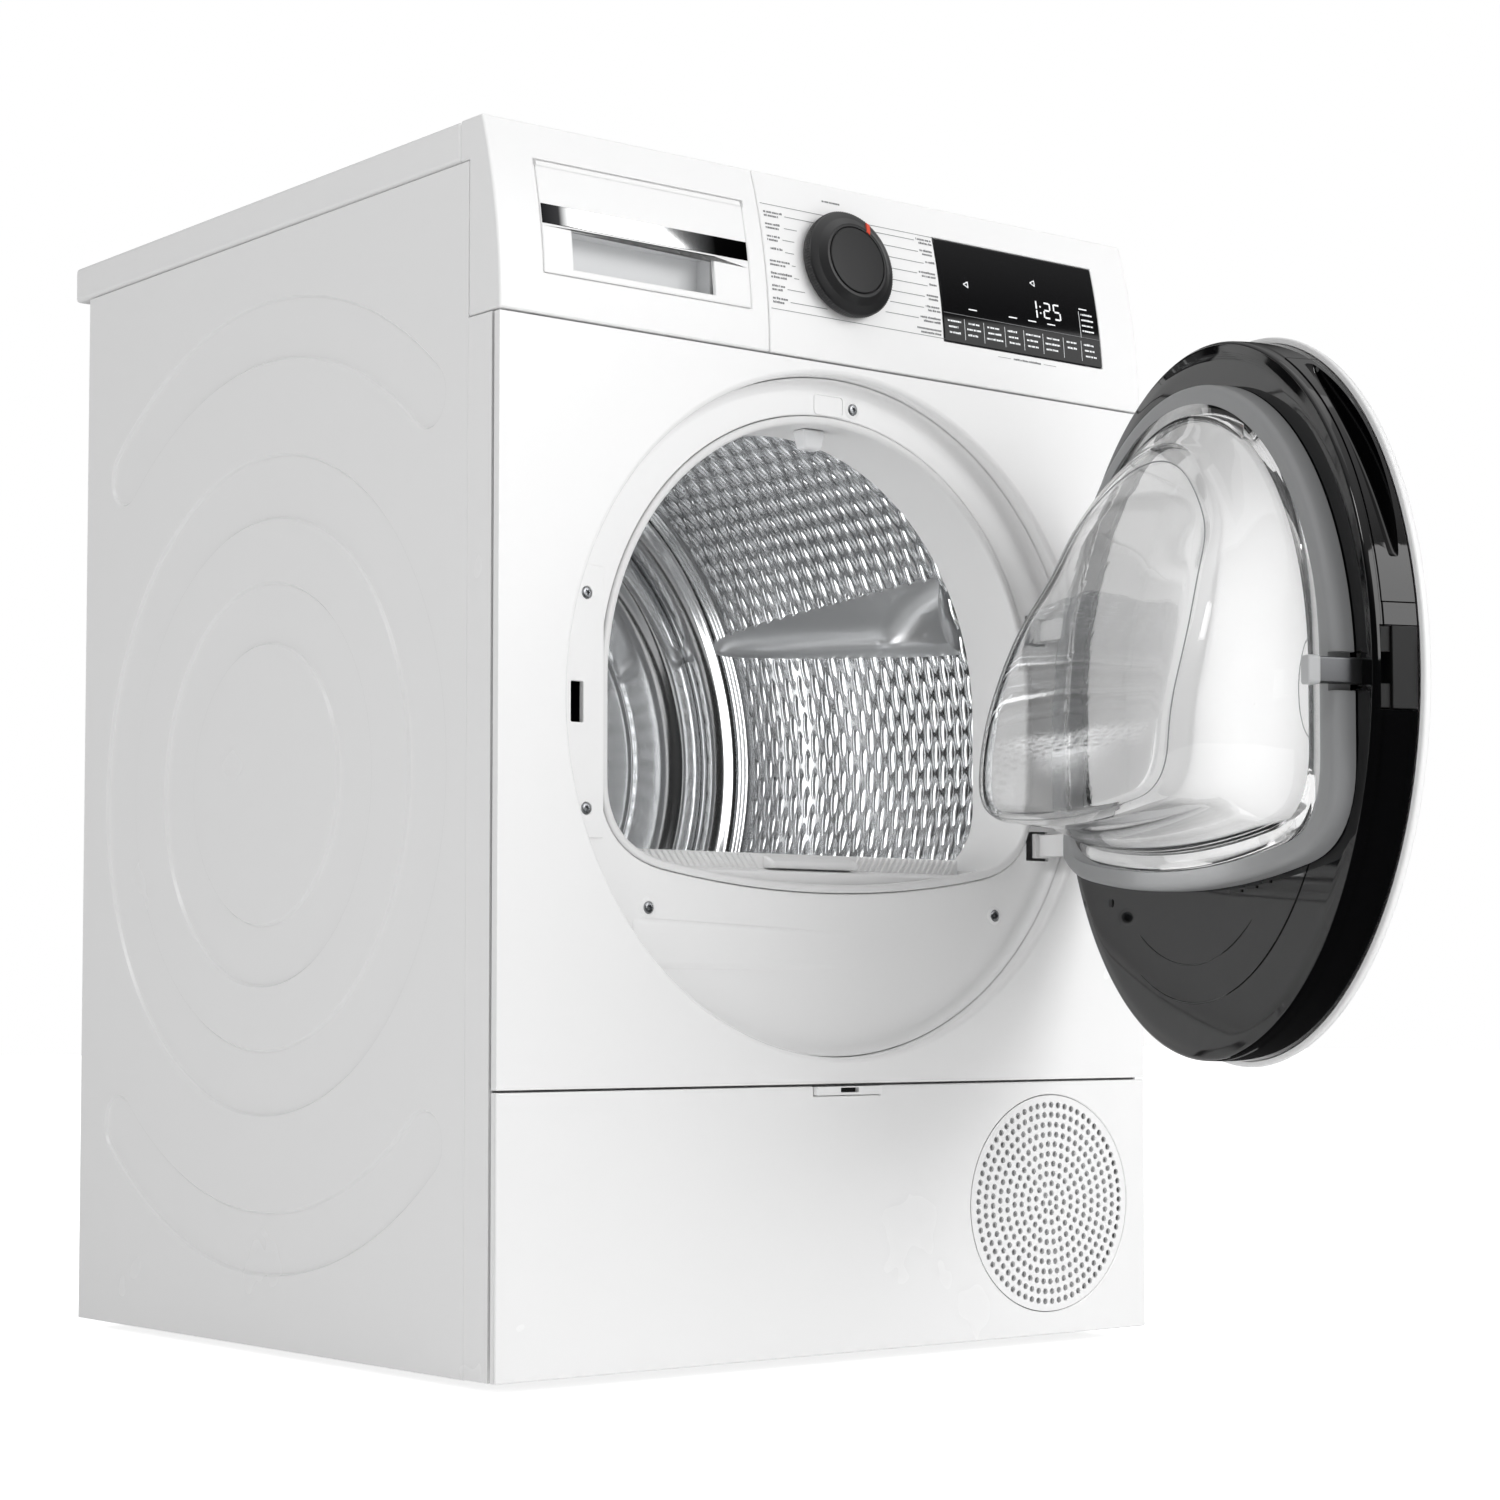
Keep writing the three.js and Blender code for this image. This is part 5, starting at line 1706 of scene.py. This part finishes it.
def doorHandle():
    r = doorShape["bandR"]
    mesh = toMesh(sector(9.6, 61.7, 221, r, -330.2, -307.2, 40), "handle")
    scoop = bmesh.new()
    rings = []
    steps = 40
    for k in range(steps + 1):
        t = k / steps
        a = math.radians(180 - (16.5 + 43 * t))
        depth = 17 * math.sin(math.pi * min(1, max(0, t))) ** 0.55
        half = 9.4 * math.sin(math.pi * (0.06 + 0.88 * t)) ** 0.5
        middle = -319.2
        floor = r - depth - 0.2
        section = eased(
            [
                (floor, middle - half * 0.75, 2.0), (r + 8, middle - half, 0), (r + 8, middle + half, 0),
                (floor, middle + half * 0.75, 2.0)
            ],
            3
        )
        rings.append([Vector((q * math.cos(a), y, place["axisZ"] + q * math.sin(a))) for q, y in section])
    lofted(scoop, rings, capFirst=True, capLast=True)
    bmesh.ops.recalc_face_normals(scoop, faces=scoop.faces)
    mesh = carved(mesh, [scoop], "handle")
    made = keepPiece(
        "doorHandle", mesh, finishes["piano"], "door", ["door_handle"], door=True, sharp=30
    )
    soften(made, 0.5, 2, 50)


def doorGasket():
    back = -282.8
    section = [
        ("gasket", 0, -298.2), ("gasket", 0, back - 5), ("gasket", -0.9, back - 2.2),
        ("gasket", -2.8, back - 0.6), ("gasket", -5.2, back)
    ]
    section += [
        ("gasket", -13.0, back), ("gasketHole", 4.5, back - 0.8), ("gasketHole", 1.6, back - 2.4),
        ("gasketHole", 0.2, back - 5.4), ("gasketHole", 0, -298.2)
    ]
    bm = bmesh.new()
    lofted(bm, [doorRing(kind, grow, y) for kind, grow, y in section], loop=True)
    cutters = [(200.4, 240, -305, -270, z - 13.5, z + 13.5) for z in (527, 364)]
    cutters.append((-232, -215.4, -305, -270, 437, 461))
    mesh = carved(toMesh(bm, "gasket"), cutters, "gasket")
    made = keepPiece(
        "doorGasket", mesh, finishes["seal"], "door", ["door_gasket"], door=True, sharp=40
    )
    soften(made, 0.8, 2, 55)


bowl = {"flange": -284.0, "reach": 82.0, "low": 432.0, "slope": 0.352, "glass": 4.0, "centreZ": 420.0}


def bowlRings(inset):
    # its outline shrinks towards a slanting face that is deepest low down
    base = byAngle(mouthOutline(*doorShape["bowl"]), doorShape["steps"])
    levels = []
    for k in range(7):
        t = k / 6
        levels.append((0.8 * t, 0.085 * t ** 1.4))
    for k in range(1, 9):
        a = math.pi / 2 * k / 8
        levels.append((0.8 + 0.2 * math.sin(a), 0.085 + 0.14 * (1 - math.cos(a))))
    levels += [(1.0, s) for s in (0.3, 0.42, 0.56, 0.7, 0.84, 0.94, 0.985)]
    rings = []
    for rise, shrink in levels:
        ring = []
        for x, z in base:
            scale = (1 - shrink) * (1 - inset / 190)
            lift = 1 - 0.2 * min(1, rise / 0.4) if z < bowl["centreZ"] else 1.0
            x1, z1 = x * scale, bowl["centreZ"] + (z - bowl["centreZ"]) * scale * lift
            over = z1 - bowl["low"]
            soft = 0.5 * (over + math.sqrt(over * over + 900))
            reach = bowl["reach"] + 6 - bowl["slope"] * soft - inset
            hump = 5.5 * math.exp(-(((z1 - 548) / 26) ** 2)) * (1 - shrink) * rise
            y = bowl["flange"] + rise * max(3.0, reach - hump)
            ring.append(Vector((x1, y, z1)))
        rings.append(ring)
    return rings


def doorBowl():
    outer, inner = bowlRings(0), bowlRings(bowl["glass"])
    shape = doorShape["gasketHole"]
    flangeOut = atDepth(byAngle(mouthOutline(*shape), doorShape["steps"], -0.6), -298)
    flangeTop = atDepth(byAngle(mouthOutline(*shape), doorShape["steps"], -0.6), -288)
    flangeIn = atDepth(byAngle(mouthOutline(*shape), doorShape["steps"], -3.2), bowl["flange"] - 0.6)
    lowIn = atDepth(byAngle(mouthOutline(*doorShape["bowl"]), doorShape["steps"], -4), -298)
    bm = bmesh.new()
    rows = lofted(bm, inner[::-1] + [lowIn, flangeOut, flangeTop, flangeIn] + outer)
    bm.faces.new(rows[0][::-1])
    bm.faces.new(rows[-1])
    made = keepPiece(
        "doorBowl", toMesh(bm, "bowl"), finishes["bowl"], "door", ["door_bowl"], door=True,
        sharp=60
    )
    return made


def bowlLines():
    # the moulding line along the shoulder
    ring = bowlRings(-0.25)[11]
    bm = bmesh.new()
    rows = []
    for i, p in enumerate(ring):
        away = Vector((p.x, 0, p.z - bowl["centreZ"])).normalized()
        rows.append(
            [
                bm.verts.new(p + away * a + Vector((0, b, 0))) for a,
                b in ((0.5, 0), (0, 0.5), (-0.5, 0), (0, -0.5))
            ]
        )
    for k, row in enumerate(rows):
        ahead = rows[(k + 1) % len(rows)]
        for i in range(4):
            j = (i + 1) % 4
            bm.faces.new((row[i], row[j], ahead[j], ahead[i]))
    keepPiece("bowlShoulderLine", toMesh(bm, "line"), finishes["seal"], "door", door=True)
    # a plain round mark moulded in the lining
    marks = turned([(37.8, -337.2), (37.8, -338.6), (38.6, -338.6), (38.6, -337.2)], 72, -112, 452)
    keepPiece("liningMark", marks, finishes["seal"], "door", door=True)


def doorLining():
    # the pale inside of the cover, seen through the bowl
    loop = [
        (199.0, -304.6), (201.5, -304.8), (204.0, -337.0), (200.0, -338.0), (0.5, -340.6), (0.5, -338.8),
        (192.0, -336.0), (197.0, -332.0)
    ]
    keepPiece(
        "doorLining", turned(loop, 160), finishes["abs"], "door", door=True, sharp=60
    )


def latchSet():
    bm = bmesh.new()
    section = eased([(-225.6, 440.8, 1.2), (-218.4, 440.8, 1.2), (-218.4, 457.2, 1.2), (-225.6, 457.2, 1.2)], 3)
    lofted(bm, [atDepth(section, y) for y in (-316, -271)], capFirst=True, capLast=True)
    made = keepPiece(
        "latchArm", toMesh(bm, "arm"), finishes["hook"], "door", ["latch_hook"], door=True
    )
    soften(made, 0.5, 2, 50)
    bm = bmesh.new()
    section = eased([(-227.6, 440.0, 2.4), (-217.2, 440.0, 2.4), (-217.2, 458.0, 2.4), (-227.6, 458.0, 2.4)], 4)
    lofted(bm, [atDepth(section, y) for y in (-272, -263.2)], capFirst=True, capLast=True)
    made = keepPiece("latchTip", toMesh(bm, "tip"), finishes["hookTip"], "door", door=True)
    soften(made, 1.2, 3, 50)
    # housing with its ribs, let into the black frame
    bm = bmesh.new()
    block(bm, -243, -214.6, -329.6, -312, 424.6, 475.4)
    block(bm, -241, -229.2, -312, -304.8, 425, 440)
    block(bm, -241, -229.2, -312, -304.8, 459, 475)
    for k in range(4):
        block(bm, -229.0, -216, -312, -305 - k, 462.5 + k * 3.2, 464 + k * 3.2)
        block(bm, -229.0, -216, -312, -305 - k, 434.0 - k * 3.2, 435.5 - k * 3.2)
    made = keepPiece(
        "latchHousing", toMesh(bm, "housing"), finishes["pitch"], "door", door=True
    )
    soften(made, 0.5, 2, 50)


def crescentMarks():
    # faint raised arcs, a screw hole and the drain slits on the lower black crescent
    bm = bmesh.new()
    for r, cx, cz, a0, a1, w in ((206, 12, 452, 207, 296, 0.9), (168, 18, 440, 236, 300, 0.7)):
        rings = []
        for k in range(61):
            a = math.radians(a0 + (a1 - a0) * k / 60)
            ends = math.sin(math.pi * k / 60) ** 0.3
            rings.append(
                [
                    Vector((cx + (r + o * w) * math.cos(a), y, cz + (r + o * w) * math.sin(a))) for o,
                    y in ((-1, -299.2), (-0.4, -298.9 + 0.75 * ends), (0.4, -298.9 + 0.75 * ends), (1, -299.2))
                ]
            )
        rows = [[bm.verts.new(p) for p in ring] for ring in rings]
        for p, q in zip(rows, rows[1:]):
            for i in range(4):
                bm.faces.new((p[i], p[(i + 1) % 4], q[(i + 1) % 4], q[i]))
        bm.faces.new(rows[0][::-1])
        bm.faces.new(rows[-1])
    keepPiece("crescentArcs", toMesh(bm, "arcs"), finishes["piano"], "door", door=True)
    bm = bmesh.new()
    for x0, x1, z0 in ((-62, -46, 323.6), (-84, -69, 325.4), (-104, -93, 328.2)):
        block(bm, x0, x1, -299.0, -297.9, z0 - 4.6, z0 - 2.8)
    lofted(bm, [atDepth(circle(3.0, 24, 150, 318), y) for y in (-299, -298.1)], capFirst=True, capLast=True)
    keepPiece("crescentSlits", toMesh(bm, "slits"), finishes["pitch"], "door", door=True)


doorCover()
doorFrame()
doorHandle()
doorGasket()
doorBowl()
bowlLines()
doorLining()
latchSet()
crescentMarks()
print("door made")


# ---- finishes for the CAD nodes that stay

kept = {
    "darkIronAndHoleShade": ["base_tray", "drive_motor", "compressor", "condensate_pump"],
    "enamel": ["front_frame"],
    "pitch": [
        "latch_catch", "power_inlet", "control_module", "tension_pulley", "support_roller_left",
        "support_roller_right"
    ],
    "greyMould": ["front_bulkhead", "fan_housing"],
    "clearMould": ["container_tank"],
    "zinc": ["rear_panel", "tension_arm", "rear_crossmember"],
    "casting": ["hinge_bracket_upper", "hinge_bracket_lower", "hinge_arm_upper", "hinge_arm_lower"],
    "fins": ["evaporator", "condenser"],
    "bronze": ["motor_rotor"],
    "rubber": [
        "foot_front_left", "foot_front_right", "foot_rear_left", "foot_rear_right", "drum_belt",
        "condensate_hose"
    ],
    "felt": ["front_seal"],
}
for key, names in kept.items():
    for name in names:
        shown = frame["nodes"][name]
        shown.data.materials.clear()
        shown.data.materials.append(finishes[key])
print("CAD nodes dressed")


# ---- floor, light and camera

studio = {
    "floor": 12.0,
    "world": 0.46,
    "mirrored": 0.03,
    "key": (1.4, -4.4, 2.2, 3.2, 2.4, 88),
    "left": (-3.2, -0.9, 3.4, 1.0, 1.0, 26),
    "right": (3.4, -3.4, 1.2, 0.9, 2.6, 9),
    "top": (0.2, -0.4, 4.2, 3.0, 3.0, 18),
    "drum": (-0.19, -0.12, 0.44, 0.16, 0.44, 0.8),
    "drumAim": (0.25, 0.05, 0.45),
    "lining": (0.088, -0.512, 0.45, 0.15, 0.24, 0.12),
    "liningAim": (0.6, -0.72, 0.45),
}


def softbox(name, x, y, z, width, height, power, aim=(0, -0.2, 0.42)):
    lamp = bpy.data.lights.new(name, "AREA")
    lamp.shape = "RECTANGLE"
    lamp.size, lamp.size_y = width, height
    lamp.energy = power
    holder = bpy.data.objects.new(name, lamp)
    holder.location = (x, y, z)
    holder.rotation_euler = (Vector(aim) - Vector((x, y, z))).to_track_quat("-Z", "Y").to_euler()
    holder.visible_camera = False
    bpy.context.scene.collection.objects.link(holder)


def studioSet():
    bm = bmesh.new()
    half = studio["floor"]
    low = -7 * mm
    bm.faces.new(
        [bm.verts.new(p) for p in ((-half, -half, low), (half, -half, low), (half, half, low), (-half, half, low))]
    )
    mesh = bpy.data.meshes.new("floor")
    bm.to_mesh(mesh)
    bm.free()
    paper = finish("paleBackdropPaper", "#f7f7f7", 0.9, grain=3.0, bump=0.0, mottle=0.0)
    shader = next(n for n in paper.node_tree.nodes if n.type == "BSDF_PRINCIPLED")
    shader.inputs["Emission Color"].default_value = (1, 1, 1, 1)
    seen = addNode(paper.node_tree, "ShaderNodeLightPath").outputs["Is Camera Ray"]
    glow = addNode(paper.node_tree, "ShaderNodeMapRange", {"Value": seen, "To Min": 0.2, "To Max": 0.85})
    paper.node_tree.links.new(glow.outputs[0], shader.inputs["Emission Strength"])
    mesh.materials.append(paper)
    floor = bpy.data.objects.new("floor", mesh)
    bpy.context.scene.collection.objects.link(floor)
    floor.visible_glossy = False
    for name in ("key", "left", "right", "top"):
        softbox(name, *studio[name])
    softbox("drum", *studio["drum"], aim=studio["drumAim"])
    softbox("lining", *studio["lining"], aim=studio["liningAim"])
    world = bpy.data.worlds.new("studio")
    bpy.context.scene.world = world
    world.use_nodes = True
    tree = world.node_tree
    tree.nodes.clear()
    path = addNode(tree, "ShaderNodeLightPath")
    soft = addNode(tree, "ShaderNodeBackground", {"Color": (1, 1, 1, 1), "Strength": studio["world"]})
    seen = addNode(tree, "ShaderNodeBackground", {"Color": (1, 1, 1, 1), "Strength": 1.0})
    # glossy pieces see a dark room below and a bright ceiling
    up = addNode(
        tree, "ShaderNodeSeparateXYZ", {"Vector": addNode(tree, "ShaderNodeTexCoord").outputs["Generated"]}
    )
    rise = addNode(
        tree, "ShaderNodeMapRange",
        {
            "Value": up.outputs["Z"], "From Min": 0.3, "From Max": 0.95, "To Min": studio["mirrored"],
            "To Max": 0.75
        },
        interpolation_type="SMOOTHSTEP"
    )
    dim = addNode(tree, "ShaderNodeBackground", {"Color": (1, 1, 1, 1), "Strength": rise.outputs[0]})
    lit = addNode(
        tree, "ShaderNodeMixShader", {0: path.outputs["Is Glossy Ray"], 1: soft.outputs[0], 2: dim.outputs[0]}
    )
    both = addNode(
        tree, "ShaderNodeMixShader", {0: path.outputs["Is Camera Ray"], 1: lit.outputs[0], 2: seen.outputs[0]}
    )
    addNode(tree, "ShaderNodeOutputWorld", {"Surface": both.outputs[0]})
    scene = bpy.context.scene
    scene.view_settings.view_transform = "Standard"
    scene.view_settings.look = "None"


shot = {
    "at": (-1466.0, -2003.2, 246.2), "pitch": 3.191, "yaw": 39.014, "lens": 76.236, "shiftX": -0.0016,
    "shiftY": 0.0506
}


def camera():
    lens = bpy.data.cameras.new("camera")
    lens.sensor_width = 36
    lens.lens = shot["lens"]
    lens.shift_x, lens.shift_y = shot["shiftX"], shot["shiftY"]
    lens.clip_start, lens.clip_end = 0.05, 60
    holder = bpy.data.objects.new("camera", lens)
    holder.location = Vector(shot["at"]) * mm
    holder.rotation_euler = (math.radians(90 + shot["pitch"]), 0, -math.radians(shot["yaw"]))
    bpy.context.scene.collection.objects.link(holder)
    bpy.context.scene.camera = holder


studioSet()
camera()
print("studio and camera set")
